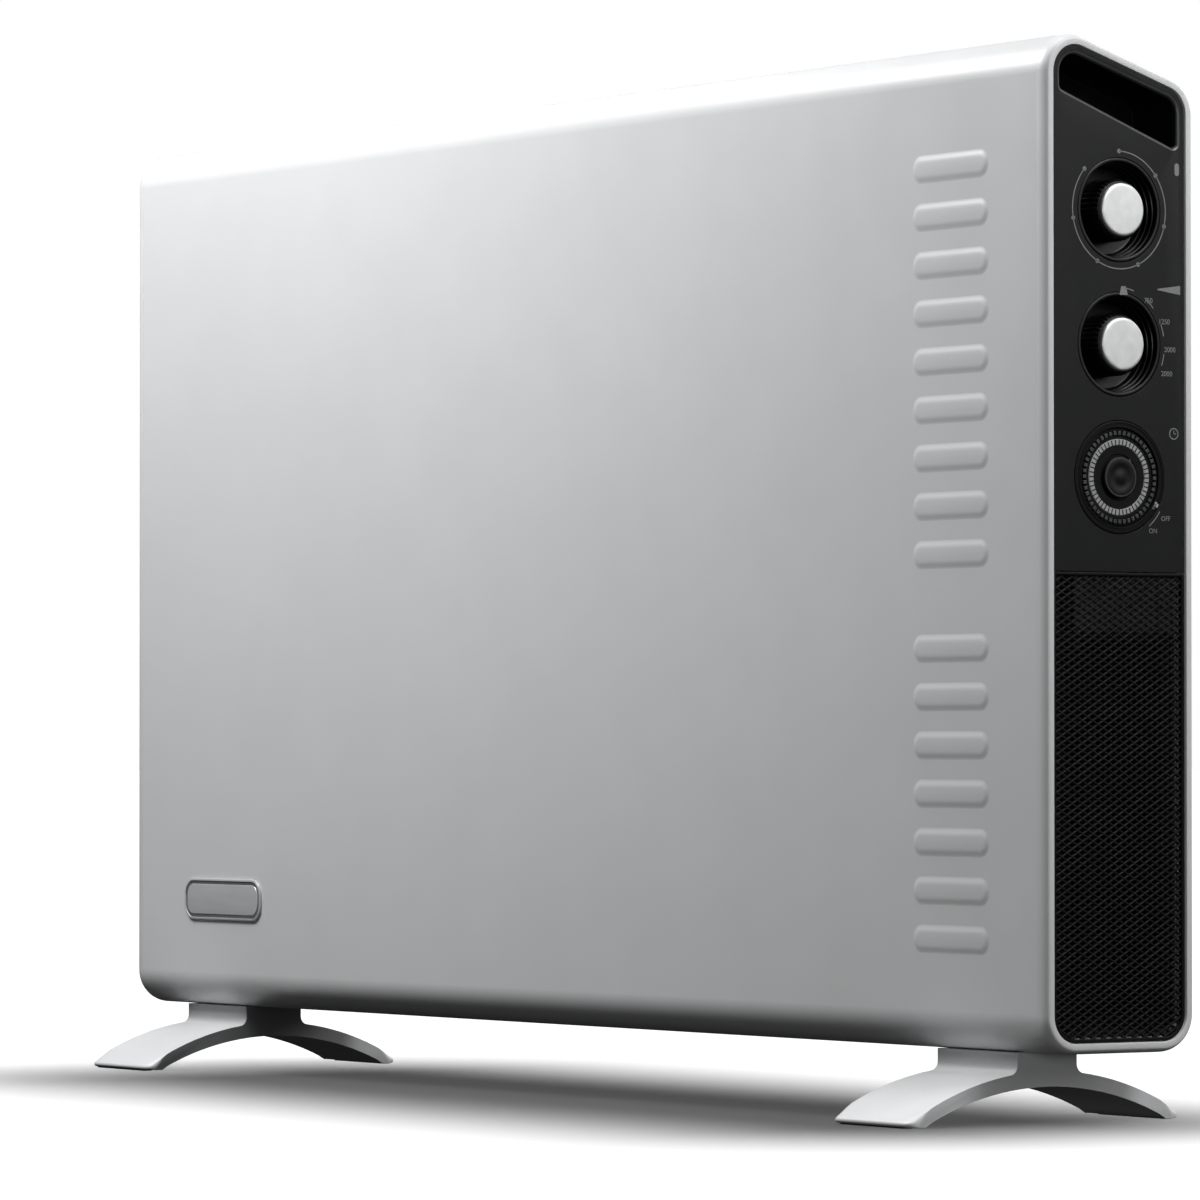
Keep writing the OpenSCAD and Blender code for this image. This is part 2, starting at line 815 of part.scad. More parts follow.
module control_bracket() {
    half = body_t / 2 - rim_w - panel_gap;
    low = split_z + bar_w / 2 + 2;
    high = thermostat_z + plate_over;
    color("#aeb2b5") difference() {
        union() {
            translate([plate_x - bracket_t, casing_back - half, low])
                cube([bracket_t, 2 * half, high - low]);
            for (end = [-1, 1])
                translate([plate_x - cut, casing_back + end * (half - bracket_t / 2) - bracket_t / 2, low])
                    cube([ledge_x - plate_x + cut, bracket_t, high - low]);
        }
        for (z = [thermostat_z, selector_z])
            on_panel(plate_x - bracket_t - cut, z) cylinder(r = bush_r + 0.1, h = bracket_t + 2 * cut);
    }
}

// Switch behind the bracket, with its threaded bush through the plate
module switch_body(z, w, h) {
    difference() {
        union() {
            translate([plate_x - bracket_t - switch_d, casing_back - w / 2, z - h / 2])
                cube([switch_d, w, h]);
            on_panel(plate_x - bracket_t - cut, z) cylinder(r = bush_r, h = bracket_t + cut + 6);
        }
        on_panel(shaft_end_x - 1, z) cylinder(r = shaft_d / 2 + run_gap, h = switch_d + 20);
    }
}

module thermostat_body() {
    color("#d8d3c4") switch_body(thermostat_z, thermostat_w, thermostat_w);
}

module selector_body() {
    color("#ded9cb") switch_body(selector_z, selector_w, selector_l);
}

module bush_nuts() {
    color("#8b8f92")
        for (z = [thermostat_z, selector_z])
            on_panel(plate_x, z) difference() {
                cylinder(r = bush_r + nut_w, h = nut_t, $fn = 6);
                translate([0, 0, -cut]) cylinder(r = bush_r + 0.02, h = nut_t + 2 * cut);
            }
}

module control_shaft(z) {
    color("#a9adb0") on_panel(shaft_end_x, z) cylinder(d = shaft_d, h = cap_x - cap_t - 3 - shaft_end_x);
}

module thermostat_shaft() {
    control_shaft(thermostat_z);
}

module selector_shaft() {
    control_shaft(selector_z);
}

// Fluted knob with a chamfered front
module knob(z) {
    h = cap_x - cap_t - knob_back_x;
    color("#161617") on_panel(knob_back_x, z) difference() {
        rotate_extrude() polygon([
            [0, 0], [knob_d / 2, 0], [knob_d / 2, h - 2.2], [cap_d / 2 + 0.8, h], [0, h],
        ]);
        translate([0, 0, -cut]) cylinder(r = shaft_d / 2 + 0.01, h = h - 3 + cut);
        for (i = [0 : flutes - 1])
            rotate(i * 360 / flutes) translate([knob_d / 2 + 0.5, 0, 2]) cylinder(r = 1, h = h, $fn = 16);
    }
}

module thermostat_knob() {
    knob(thermostat_z);
}

module selector_knob() {
    knob(selector_z);
}

module knob_cap(z, index) {
    color("#e3e4e5") on_panel(cap_x - cap_t, z) difference() {
        rotate_extrude() polygon([
            [0, 0], [cap_d / 2, 0], [cap_d / 2, cap_t - 0.6], [cap_d / 2 - 0.6, cap_t], [0, cap_t],
        ]);
        if (index) translate([-0.5, cap_d / 2 - 4.2, cap_t - 0.4]) cube([1, 3, cut]);
    }
}

module thermostat_cap() {
    knob_cap(thermostat_z, false);
}

module selector_cap() {
    knob_cap(selector_z, true);
}

// Ring sector between two radii and two angles, seen from the control end
module sector(r0, r1, h, start, sweep) {
    rotate(start) rotate_extrude(angle = sweep) translate([r0, 0]) square([r1 - r0, h]);
}

slot_start = -57;
slot_sweep = 33;
slider_start = -36;
slider_sweep = 9;

module timer_housing() {
    depth = timer_front_x - timer_back_x;
    color("#101011") on_panel(timer_back_x, timer_z) {
        difference() {
            cylinder(d = timer_d, h = depth);
            translate([0, 0, recess_x - timer_back_x]) cylinder(d = dial_d + 2 * shaft_gap, h = depth);
            translate([0, 0, depth - 2.6])
                sector(slider_in_r, slider_out_r, 2.6 + cut, slot_start, slot_sweep);
        }
        translate([0, 0, recess_x - timer_back_x - cut])
            cylinder(d = post_d, h = dial_front_x - recess_x + cut + hub_gap + hub_socket);
    }
}

module timer_motor() {
    ear = 4;
    r = timer_motor_d / 2;
    color("#b7babd") on_panel(plate_x - bracket_t - timer_motor_t, timer_z) {
        cylinder(r = r, h = timer_motor_t);
        translate([-r - ear, -ear, timer_motor_t - 1.2]) cube([2 * (r + ear), 2 * ear, 1.2]);
    }
}

module timer_dial() {
    back_x = recess_x + 0.3;
    color("#1a1a1b") on_panel(back_x, timer_z) difference() {
        cylinder(d = dial_d, h = dial_front_x - back_x);
        translate([0, 0, -cut]) cylinder(r = post_d / 2 + run_gap, h = 10);
        translate([0, 0, groove_x - back_x]) difference() {
            cylinder(r = groove_out_r, h = 10);
            translate([0, 0, -cut]) cylinder(r = groove_in_r, h = 12);
        }
    }
}

// Ring of tappets, joined by a thin ring at their roots
module timer_tappets() {
    r0 = groove_in_r + 0.1;
    r1 = groove_out_r - 0.1;
    pitch = 2 * PI * (r0 + r1) / 2 / tappets;
    color("#2a2a2c") on_panel(groove_x + 0.1, timer_z) {
        difference() {
            cylinder(r = r1, h = tappet_ring_t);
            translate([0, 0, -cut]) cylinder(r = r0, h = 3);
        }
        for (i = [0 : tappets - 1])
            rotate(i * 360 / tappets) translate([r0 + 0.15, -pitch * 0.33, 0.4])
                cube([r1 - r0 - 0.3, pitch * 0.66, groove_d + 0.1]);
    }
}

module timer_hub() {
    color("#171718") on_panel(dial_front_x + hub_gap, timer_z) difference() {
        rotate_extrude() polygon([
            [0, 0], [hub_d / 2, 0], [hub_d / 2, hub_t - 0.6], [hub_d / 2 - 0.6, hub_t], [0, hub_t],
        ]);
        translate([0, 0, -cut]) cylinder(r = post_d / 2 + 0.01, h = cut + hub_socket);
    }
}

module timer_mode_slider() {
    mid = slider_start + slider_sweep / 2;
    color("#c8c9ca") on_panel(timer_front_x - 2.4, timer_z) {
        sector(slider_in_r + slider_gap, slider_out_r - slider_gap, 2.2, slider_start, slider_sweep);
        rotate(mid) translate([(slider_in_r + slider_out_r) / 2 - 0.5, -0.8, 2]) cube([1, 1.6, 1.8]);
    }
}

element_z = [base_z + element_low_h, base_z + element_low_h + element_step];

module element_bracket() {
    notch = 2 * loom_r + 4;
    color("#aeb2b5") translate([bracket_x - bracket_t / 2, 0, 0]) difference() {
        translate([0, baffle_y + shield_t, rail_z])
            cube([bracket_t, shield_y - shield_t - baffle_y - shield_t, element_z[1] + 34 - rail_z]);
        for (z = element_z)
            translate([-cut, casing_back, z]) rotate([0, 90, 0])
                cylinder(r = pin_d / 2 + ceramic_wall + shaft_gap, h = bracket_t + 2 * cut);
        translate([-cut, loom_y - notch / 2, rail_z - cut]) cube([bracket_t + 2 * cut, body_t, notch + 3]);
        translate([-cut, baffle_y, rail_z - cut]) cube([bracket_t + 2 * cut, seam_y - baffle_y, 10]);
    }
}

module right_element_bracket() {
    element_bracket();
}

module left_element_bracket() {
    mirrored() element_bracket();
}

// Finned heating element lying along the casing
module element(z) {
    half = bracket_x - bush_l;
    cut_pitch = 2 * half / (fin_cuts + 1);
    color("#b9bbbd") translate([0, casing_back, z]) {
        difference() {
            along_x(-half, half) {
                circle(d = core_d);
                for (side = [0, 180])
                    for (tilt = [-fin_angle, fin_angle])
                        rotate(side + tilt) translate([core_d / 2 - 1, -fin_t / 2])
                            square([fin_l - core_d / 2 + 1, fin_t]);
            }
            for (i = [1 : fin_cuts])
                for (side = [-1, 1])
                    translate([i * cut_pitch - half, side * (fin_l / 2 + core_d / 2 + 1), 0])
                        cube([3, fin_l, 2 * fin_l], center = true);
        }
        along_x(-bracket_x - bush_l, bracket_x + bush_l) circle(d = pin_d);
    }
}

module lower_element() {
    element(element_z[0]);
}

module upper_element() {
    element(element_z[1]);
}

// Ceramic bushes that carry the terminal pins in the brackets
module element_bushes() {
    color("#efece4")
        for (side = [-1, 1])
            for (z = element_z)
                translate([side * bracket_x, casing_back, z]) rotate([0, side * 90, 0])
                    rotate_extrude() difference() {
                        union() {
                            translate([0, -bush_l + bracket_t])
                                square([pin_d / 2 + ceramic_wall, 2 * bush_l - 2 * bracket_t]);
                            translate([0, bracket_t / 2])
                                square([pin_d / 2 + ceramic_wall + collar_w, collar_t]);
                        }
                        translate([0, -bush_l - cut]) square([pin_d / 2 + 0.02, 2 * bush_l + 2 * cut]);
                    }
}

module front_air_baffle() {
    color("#c2c5c7") translate([-bracket_x - 5, baffle_y, shield_z])
        cube([2 * bracket_x + 10, shield_t, shield_h]);
}

module rear_heat_shield() {
    color("#c2c5c7") translate([-bracket_x - 5, shield_y - shield_t, shield_z])
        cube([2 * bracket_x + 10, shield_t, shield_h]);
}

module thermal_cutout() {
    z = element_z[1] + cutout_up;
    color("#b08d57") translate([cutout_x, shield_y - shield_t, z]) rotate([90, 0, 0]) {
        translate([-14, -5, 0]) cube([28, 10, 0.8]);
        cylinder(r = 8, h = 7);
        for (x = [-4, 4]) translate([x - 1.5, -0.4, 6]) cube([3, 0.8, 7]);
    }
}

// Duct of a side blower, open to the grille and to the casing
module blower_housing() {
    duct_l = ledge_x - duct_back_x;
    duct_h = duct_top_z - duct_z;
    inner_half = duct_half - duct_wall;
    color("#2b2c2e") difference() {
        union() {
            translate([duct_back_x, casing_back - duct_half, duct_z]) cube([duct_l, 2 * duct_half, duct_h]);
            along_x(ledge_x - 2, ledge_x) panel_area(duct_z - 4, duct_top_z + 2);
        }
        difference() {
            translate([duct_back_x - cut, casing_back - inner_half, duct_z + duct_wall])
                cube([duct_l + 2 * cut, 2 * inner_half, duct_h - 2 * duct_wall]);
            translate([duct_back_x - cut, casing_back - duct_half, motor_z - duct_wall])
                cube([duct_l + 2 * cut, 2 * duct_half, duct_wall]);
            translate([rotor_x, casing_back, duct_z])
                cylinder(r = spindle_d / 2 + 3, h = rotor_z - 1 - duct_z);
        }
        translate([rotor_x, casing_back, duct_z + duct_wall])
            cylinder(r = spindle_d / 2 + run_gap, h = rotor_z - duct_z);
        translate([rotor_x, casing_back, motor_z - duct_wall - cut])
            cylinder(r = spindle_d, h = duct_wall + 2 * cut);
    }
}

module right_blower_housing() {
    blower_housing();
}

module left_blower_housing() {
    mirrored() blower_housing();
}

// Drum of curved blades between two end discs
module blower_rotor() {
    r = rotor_d / 2;
    color("#3a3b3d") translate([rotor_x, casing_back, 0]) {
        for (z = [rotor_z, rotor_z + rotor_l - 1.4]) translate([0, 0, z]) cylinder(r = r, h = 1.4);
        translate([0, 0, rotor_z + 0.7]) linear_extrude(rotor_l - 1.4)
            for (i = [0 : blades - 1])
                rotate(i * 360 / blades) translate([r - 1, 0]) rotate(-35)
                    translate([-6.5, -0.5]) square([6.5, 1]);
        translate([0, 0, duct_z + duct_wall + 0.6])
            cylinder(d = spindle_d, h = motor_z + 9 - duct_z - duct_wall);
    }
}

module right_blower_rotor() {
    blower_rotor();
}

module left_blower_rotor() {
    mirrored() blower_rotor();
}

module blower_motor() {
    color("#8f9396") translate([rotor_x, casing_back, motor_z]) difference() {
        union() {
            cylinder(d = motor_d, h = motor_h);
            translate([-motor_d / 2 + 2, -motor_d / 2 - 4, 4])
                cube([motor_d - 4, motor_d + 8, motor_h - 10]);
        }
        translate([0, 0, -cut]) cylinder(r = spindle_d / 2 + run_gap, h = cut + 12);
    }
}

module right_blower_motor() {
    blower_motor();
}

module left_blower_motor() {
    mirrored() blower_motor();
}

front_cover();
rear_cover();
top_grille();
base_rail();
right_end_frame();
left_end_frame();
control_fascia();
thermostat_dish();
selector_dish();
right_grille();
right_handle_cup();
left_panel();
left_grille();
left_handle_cup();
badge_plate();
left_foot();
right_foot();
foot_pads();
foot_screws();
cover_screws();
cord_gland();
terminal_block();
wiring_loom();
control_bracket();
thermostat_body();
thermostat_shaft();
thermostat_knob();
thermostat_cap();
selector_body();
selector_shaft();
selector_knob();
selector_cap();
bush_nuts();
timer_housing();
timer_motor();
timer_dial();
timer_tappets();
timer_hub();
timer_mode_slider();
right_element_bracket();
left_element_bracket();
lower_element();
upper_element();
element_bushes();
front_air_baffle();
rear_heat_shield();
thermal_cutout();
right_blower_housing();
right_blower_rotor();
right_blower_motor();
left_blower_housing();
left_blower_rotor();
left_blower_motor();
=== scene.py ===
"""Slim electric convector heater: its finished pieces, materials, light and camera."""
import math

import bmesh
import bpy
from bpy.props import FloatProperty, FloatVectorProperty, IntProperty, PointerProperty
from bpy.types import Operator, Panel, PropertyGroup
from mathutils import Matrix, Vector


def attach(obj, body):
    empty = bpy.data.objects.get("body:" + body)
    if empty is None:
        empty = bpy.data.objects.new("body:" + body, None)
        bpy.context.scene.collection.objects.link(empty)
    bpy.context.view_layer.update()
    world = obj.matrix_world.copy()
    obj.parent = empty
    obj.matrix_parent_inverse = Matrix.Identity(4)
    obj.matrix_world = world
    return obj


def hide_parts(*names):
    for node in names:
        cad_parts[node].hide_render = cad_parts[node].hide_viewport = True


bl_info = {
    "name": "Slim Convector Heater",
    "version": (1, 0, 0),
    "blender": (4, 5, 0),
    "location": "3D View > Sidebar > Heater",
    "description": "Builds the finished pieces of a slim electric convector heater",
    "category": "Object",
}

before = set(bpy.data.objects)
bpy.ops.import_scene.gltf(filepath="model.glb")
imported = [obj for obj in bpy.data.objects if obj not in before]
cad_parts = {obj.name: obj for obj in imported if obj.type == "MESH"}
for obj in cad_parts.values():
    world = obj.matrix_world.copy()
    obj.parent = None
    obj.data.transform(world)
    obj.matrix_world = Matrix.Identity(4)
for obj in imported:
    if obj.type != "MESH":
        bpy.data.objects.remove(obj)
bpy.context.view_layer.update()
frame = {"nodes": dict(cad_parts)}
MM = 0.001
# Two vertices nearer than this are one, and two faces within this angle are flat to each other
MERGE = 0.001 * MM
FLAT = math.radians(0.5)


def mm(*sizes):
    """Sizes in metres, from millimetres."""
    return tuple(size * MM for size in sizes)


def srgb(code):
    """Linear colour of an sRGB hex code."""
    parts = [int(code[i:i + 2], 16) / 255 for i in (0, 2, 4)]
    return tuple(c / 12.92 if c <= 0.04045 else ((c + 0.055) / 1.055) ** 2.4 for c in parts)


def length(name, default_mm, description):
    """Size setting in metres, from millimetres."""
    return FloatProperty(
        name=name, default=default_mm * MM, description=description, unit="LENGTH", precision=5
    )


def colour(name, code, description):
    """Colour setting from an sRGB hex code."""
    return FloatVectorProperty(
        name=name, default=srgb(code), description=description, subtype="COLOR", size=3,
        min=0, max=1,
    )


def angle(name, degrees, description):
    """Angle setting, from degrees."""
    return FloatProperty(
        name=name, default=math.radians(degrees), description=description, subtype="ANGLE"
    )


def power(name, default, description):
    """Setting of a light's power."""
    return FloatProperty(name=name, default=default, description=description, min=0)


def count(name, default, description):
    """Whole-number setting."""
    return IntProperty(name=name, default=default, description=description, min=1)


class CasingSizes(PropertyGroup):
    """Sizes of the casing and its end frames."""

    length: length("Length", 735, "Length over both end frames")
    depth: length("Depth", 78, "Depth from the front face to the rear face")
    height: length("Height", 425, "Height of the front, from the underside to the top line")
    drop: length("Top drop", 25, "Drop of the sloping top from front to rear")
    corner: length("Corner radius", 16, "Radius of the long edges")
    sheet: length("Sheet", 1, "Thickness of the cover sheet")
    back: length("Set back", 13, "Distance of the casing's middle plane behind the feet")
    lift: length("Lift", 30, "Height of the underside above the floor")
    seam: length("Seam", 22, "Distance of the cover seam behind the front face")
    frame: length("Frame", 6, "Length of the end frame that shows along the casing")
    rim: length("Rim", 4.5, "Width of the rim round a side panel")
    recess: length("Recess", 0.8, "Depth of the side panels below the end face")
    panel: length("Panel", 2.5, "Thickness of the side panels")
    gap: length("Gap", 0.3, "Gap round a side panel")
    split: length("Split", 198.1, "Height of the joint over the grille, above the underside")


class FrontSizes(PropertyGroup):
    """Sizes of the pressed ribs and the plate on the front."""

    rib_length: length("Rib length", 50, "Length of a rib")
    rib_width: length("Rib width", 9, "Width of a rib")
    rib_height: length("Rib height", 0.6, "Height of a rib")
    rib_pitch: length("Rib pitch", 20.2, "Spacing of the ribs")
    rib_edge: length("Rib edge", 1.8, "Half-width of the soft edge of a rib")
    rib_inset: length("Rib inset", 64.5, "Distance of the ribs' middle from the end face")
    low_start: length("Lower start", 46, "Height of the lowest rib above the underside")
    high_start: length(
        "Upper start", 206.4, "Height of the upper group's lowest rib above the underside"
    )
    ribs_low: count("Lower ribs", 7, "Ribs in the lower group")
    ribs_high: count("Upper ribs", 9, "Ribs in the upper group")
    plate_inset: length("Plate inset", 84, "Distance of the plate's middle from the end face")
    plate_up: length("Plate height above", 52, "Height of the plate's middle above the underside")
    plate_width: length("Plate width", 71, "Width of the blank plate")
    plate_height: length("Plate height", 20, "Height of the blank plate")
    plate: length("Plate thickness", 1.2, "Thickness of the blank plate")
    plate_corner: length("Plate corner", 8, "Corner radius of the blank plate")


class ControlSizes(PropertyGroup):
    """Sizes of the knobs, the timer, the print and the grille."""

    thermostat: length("Thermostat height", 347.5, "Height of the thermostat above the underside")
    selector: length("Selector height", 292, "Height of the selector above the underside")
    timer: length("Timer height", 237.2, "Height of the timer above the underside")
    knob: length("Knob", 26, "Diameter of a knob")
    cap: length("Cap", 22, "Diameter of a knob's bright cap")
    cap_thick: length("Cap thickness", 2, "Thickness of a knob's cap")
    proud: length("Proud", 2.8, "Height of a cap in front of the panel")
    dish: length("Dish", 40, "Diameter of the dish at the panel")
    dish_floor: length("Dish floor", 36, "Diameter of the dish's floor")
    dish_depth: length("Dish depth", 11, "Depth of the dish")
    dish_wall: length("Dish wall", 1.5, "Wall of the dish")
    flutes: count("Flutes", 36, "Grip flutes round a knob")
    scale: length("Scale", 48.6, "Diameter of the printed thermostat scale")
    timer_outer: length("Timer", 46.8, "Outer diameter of the timer")
    dial: length("Dial", 40.4, "Diameter of the turning dial")
    band: length("Band", 31.6, "Outer diameter of the light band on the dial")
    band_width: length("Band width", 2.6, "Width of the light band")
    hub: length("Hub", 17, "Diameter of the fixed hub")
    tappets: count("Tappets", 48, "Tappets round the dial")
    mesh_pitch: length("Mesh pitch", 5.4, "Width of a diamond in the side grille")
    mesh_step: length("Mesh step", 3.1, "Height of a diamond in the side grille")
    strand: length("Strand", 1.1, "Width of a strand in the side grille")
    mesh_depth: length("Mesh depth", 1.12, "Depth of the strands' middle below the panel's face")


class FootSizes(PropertyGroup):
    """Sizes of the feet."""

    width: length("Width", 55, "Width along the casing")
    inset: length("Inset", 33, "Distance from the end of the casing")
    reach: length("Reach", 142, "Length from front tip to rear tip")
    neck: length("Neck", 31, "Depth of the neck")
    arch: length("Arch height", 15.5, "Height of the arch")
    arch_radius: length("Arch radius", 142, "Radius of the arch")
    leg: length("Leg height", 22, "Height of the legs' upper curve at the middle")
    leg_radius: length("Leg radius", 138, "Radius of the legs' upper curve")
    fillet: length("Fillet", 4, "Fillet between neck and legs")
    sole: length("Sole", 0.5, "Height of the sole above the floor")
    tip_round: length("Tip rounding", 5, "Rounding of the tips seen from above")


class FinishColours(PropertyGroup):
    """Colours of the finishes."""

    silver_paint: colour("Silver paint", "BDBEBF", "Satin paint of the covers")
    silver_plastic: colour("Silver plastic", "BFC0C1", "Moulded frames and feet")
    fascia: colour("Fascia", "101111", "Fine satin black of the control panel")
    # The pocket edge is lighter than the fascia: a painted highlight along the pocket's mouth
    lip: colour("Pocket edge", "2F3030", "Polished edge round the hand pocket")
    mesh_black: colour("Grille", "0A0A0A", "Side grilles and face of the timer")
    black: colour("Black", "0B0B0C", "Black moulded plastic")
    gloss: colour("Gloss", "050505", "Dishes and knobs")
    cap: colour("Cap", "D8DADA", "Spun aluminium of the caps")
    print_grey: colour("Print", "707172", "Print on the control panel")
    band: colour("Band", "8C8D8E", "Light band on the dial")
    dial_grey: colour("Tappets", "2C2D2E", "Tappets round the dial")
    plate_line: colour("Plate line", "56575A", "Line inlaid round the blank plate")
    plate_face: colour("Plate face", "B4B5B7", "Satin face of the blank plate")
    steel: colour("Steel", "B4B8BA", "Zinc-plated sheet")
    # Near-black sheet behind the side panels: painted shade seen through the grilles
    dark_steel: colour("Dark steel", "070808", "Near-black sheet behind the side panels, painted shade")
    turned_steel: colour("Turned steel", "A4A8AA", "Shafts, nuts and screws")
    outlet: colour("Outlet", "8B8D8F", "Warm air outlet")
    element: colour("Element", "A6A39E", "Fins of the heating elements")
    # The bushes' dark colour is painted shade from inside the casing
    ceramic: colour("Ceramic", "6B665C", "Bushes of the elements")
    brass: colour("Brass", "B5945A", "Case of the thermal cut-out")
    rubber: colour("Rubber", "141415", "Pads and wire sleeve")
    cream: colour("Cream", "DED9CB", "Switch bodies")
    floor: colour("Floor", "999999", "Floor")


class StageLook(PropertyGroup):
    """Camera and light."""

    lens: FloatProperty(name="Lens", default=209.199, description="Focal length in millimetres")
    camera: FloatVectorProperty(
        name="Camera", default=(2.624809, -1.772651, 0.156645), description="Place of the camera",
        unit="LENGTH",
    )
    turn: angle("Turn", 34.0732, "Heading from -X")
    tilt: angle("Tilt", 1.1972, "Upward tilt")
    key: power("Key", 55, "Watts of the light over the front")
    side: power("Side", 40, "Watts of the light over the control end")
    edge: power("Edge", 40, "Watts of the light on the front right edge")
    end: power("End", 6, "Watts of the light that the caps reflect")
    rear: power("Rear", 40, "Watts of the light behind")
    overhead: power("Overhead", 1.6, "Strength of the light from above")
    dome: power("Dome", 0.15, "Strength of the light from all round")
    floor_light: power("Floor light", 11.6, "Strength of the light on the floor")


class HeaterSettings(PropertyGroup):
    """All settings of the heater."""

    casing: PointerProperty(type=CasingSizes)
    front: PointerProperty(type=FrontSizes)
    control: PointerProperty(type=ControlSizes)
    foot: PointerProperty(type=FootSizes)
    colours: PointerProperty(type=FinishColours)
    stage: PointerProperty(type=StageLook)


def settings():
    """The heater's settings in the scene."""
    return bpy.context.scene.heater


class Planes:
    """Planes of the casing that several pieces share, in metres."""

    def __init__(self):
        c = settings().casing
        k = settings().control
        self.front = c.back - c.depth / 2
        self.rear = c.back + c.depth / 2
        self.mid = c.back
        self.base = c.lift
        self.top = c.lift + c.height
        self.slope = math.atan(c.drop / c.depth)
        self.end = c.length / 2
        self.cover = self.end - c.frame
        self.panel = self.end - c.recess
        self.seat = self.panel - c.panel
        self.split = c.lift + c.split
        self.cap = self.panel + k.proud
        self.dish = self.panel - k.dish_depth
        self.thermostat = c.lift + k.thermostat
        self.selector = c.lift + k.selector
        self.timer = c.lift + k.timer

    def line(self, y):
        """Height of the sloping top line at a depth."""
        c = settings().casing
        return self.top - (y - self.front) * c.drop / c.depth

    def corners(self, inset):
        """Corners of the casing's section, drawn in by an inset, as depth and height."""
        low = self.base + inset
        fall = inset / math.cos(self.slope)
        y0, y1 = self.front + inset, self.rear - inset
        return [(y0, low), (y1, low), (y1, self.line(y1) - fall), (y0, self.line(y0) - fall)]


def side_place(x):
    """Drawing plane across the casing: u is depth and v is height."""
    return lambda u, v: Vector((x, u, v))


def front_place(y):
    """Drawing plane along the front: u is length and v is height."""
    return lambda u, v: Vector((u, y, v))


def facing(place):
    """Normal of a drawing plane."""
    origin = place(0, 0)
    return (place(1, 0) - origin).cross(place(0, 1) - origin).normalized()


def on_circle(centre, radius, turn):
    """Point of a circle in a drawing plane, its angle in radians."""
    return centre[0] + radius * math.cos(turn), centre[1] + radius * math.sin(turn)


def arc(bm, place, centre, radius, start, sweep, steps):
    """Row of vertices along an arc, angles in radians."""
    seed = bm.verts.new(place(*on_circle(centre, radius, start)))
    bmesh.ops.spin(
        bm, geom=[seed], cent=place(*centre), axis=facing(place), angle=sweep, steps=steps
    )
    row = [seed]
    while len(row) <= steps:
        near = [edge.other_vert(row[-1]) for edge in row[-1].link_edges]
        row.append(next(v for v in near if v not in row[-2:]))
    return row


def join_rows(bm, rows):
    """Joins rows of vertices end to end in a closed ring and returns it as one row."""
    for a, b in zip(rows, rows[1:] + rows[:1]):
        bm.edges.new((a[-1], b[0]))
    return [v for row in rows for v in row]


def upright(u, v, wide, high):
    """Corners of an upright rectangle round a middle, counter-clockwise."""
    half, up = wide / 2, high / 2
    return [(u - half, v - up), (u + half, v - up), (u + half, v + up), (u - half, v + up)]


def rounded(bm, place, corners, radius, steps=8, hold=0.0):
    """Closed ring round a convex outline, its corners counter-clockwise.

    Vertices a hold beyond each corner's arc keep the flats flat under smooth shading.
    """
    rows = []
    points = [Vector(c) for c in corners]
    for i, corner in enumerate(points):
        back = (points[i - 1] - corner).normalized()
        ahead = (points[(i + 1) % len(points)] - corner).normalized()
        half = back.angle(ahead) / 2
        centre = corner + (back + ahead).normalized() * (radius / math.sin(half))
        foot = corner + back * (radius / math.tan(half)) - centre
        row = arc(bm, place, centre, radius, math.atan2(foot.y, foot.x), math.pi - 2 * half, steps)
        if hold:
            reach = radius / math.tan(half) + hold
            before, after = (bm.verts.new(place(*(corner + way * reach))) for way in (back, ahead))
            bm.edges.new((before, row[0]))
            bm.edges.new((row[-1], after))
            row = [before, *row, after]
        rows.append(row)
    return join_rows(bm, rows)


def ring_edges(bm, ring):
    """Edges of a closed ring of vertices."""
    return [bm.edges.get((a, b)) for a, b in zip(ring, ring[1:] + ring[:1])]


def loft(bm, rings, closed=False):
    """Skins rings of equal count, one after another."""
    pairs = list(zip(rings, rings[1:]))
    if closed:
        pairs.append((rings[-1], rings[0]))
    for a, b in pairs:
        made = bmesh.ops.extrude_edge_only(bm, edges=ring_edges(bm, a))
        over = dict(zip(a, b))
        fresh = [g for g in made["geom"] if isinstance(g, bmesh.types.BMVert)]
        target = {}
        for vert in fresh:
            near = (edge.other_vert(vert) for edge in vert.link_edges)
            target[vert] = over[next(other for other in near if other in over)]
        bmesh.ops.weld_verts(bm, targetmap=target)


def pill_ring(bm, place, centre, half_length, radius, steps=10):
    """Ring round a level bar with round ends."""
    run = half_length - radius
    right = arc(bm, place, (centre[0] + run, centre[1]), radius, -math.pi / 2, math.pi, steps)
    left = arc(bm, place, (centre[0] - run, centre[1]), radius, math.pi / 2, math.pi, steps)
    return join_rows(bm, [right, left])


def lathe(bm, centre, profile, steps):
    """Turns a profile of radius and X about an X-parallel axis through centre, depth and height."""
    y, z = centre
    verts = [bm.verts.new((x, y, z + r)) for r, x in profile]
    edges = [bm.edges.new(pair) for pair in zip(verts, verts[1:])]
    bmesh.ops.spin(
        bm, geom=verts + edges, cent=(0, y, z), axis=(1, 0, 0), angle=math.tau, steps=steps,
        use_merge=True,
    )
    bmesh.ops.remove_doubles(bm, verts=bm.verts, dist=MERGE)


def dot(bm, centre, x, radius):
    """Flat round dot that faces along X, its centre as depth and height."""
    place = Matrix.Translation((x, *centre)) @ Matrix.Rotation(math.pi / 2, 4, "Y")
    bmesh.ops.create_cone(
        bm, cap_ends=True, segments=20, radius1=radius, radius2=radius, depth=0.1 * MM,
        matrix=place,
    )


def outward(bm):
    """Turns all faces outwards."""
    bmesh.ops.recalc_face_normals(bm, faces=bm.faces)


def cut_off(bm, point, out):
    """Cuts away what lies past the plane through a point, on the side that out points to."""
    parts = bm.verts[:] + bm.edges[:] + bm.faces[:]
    bmesh.ops.bisect_plane(bm, geom=parts, plane_co=point, plane_no=out, clear_outer=True)


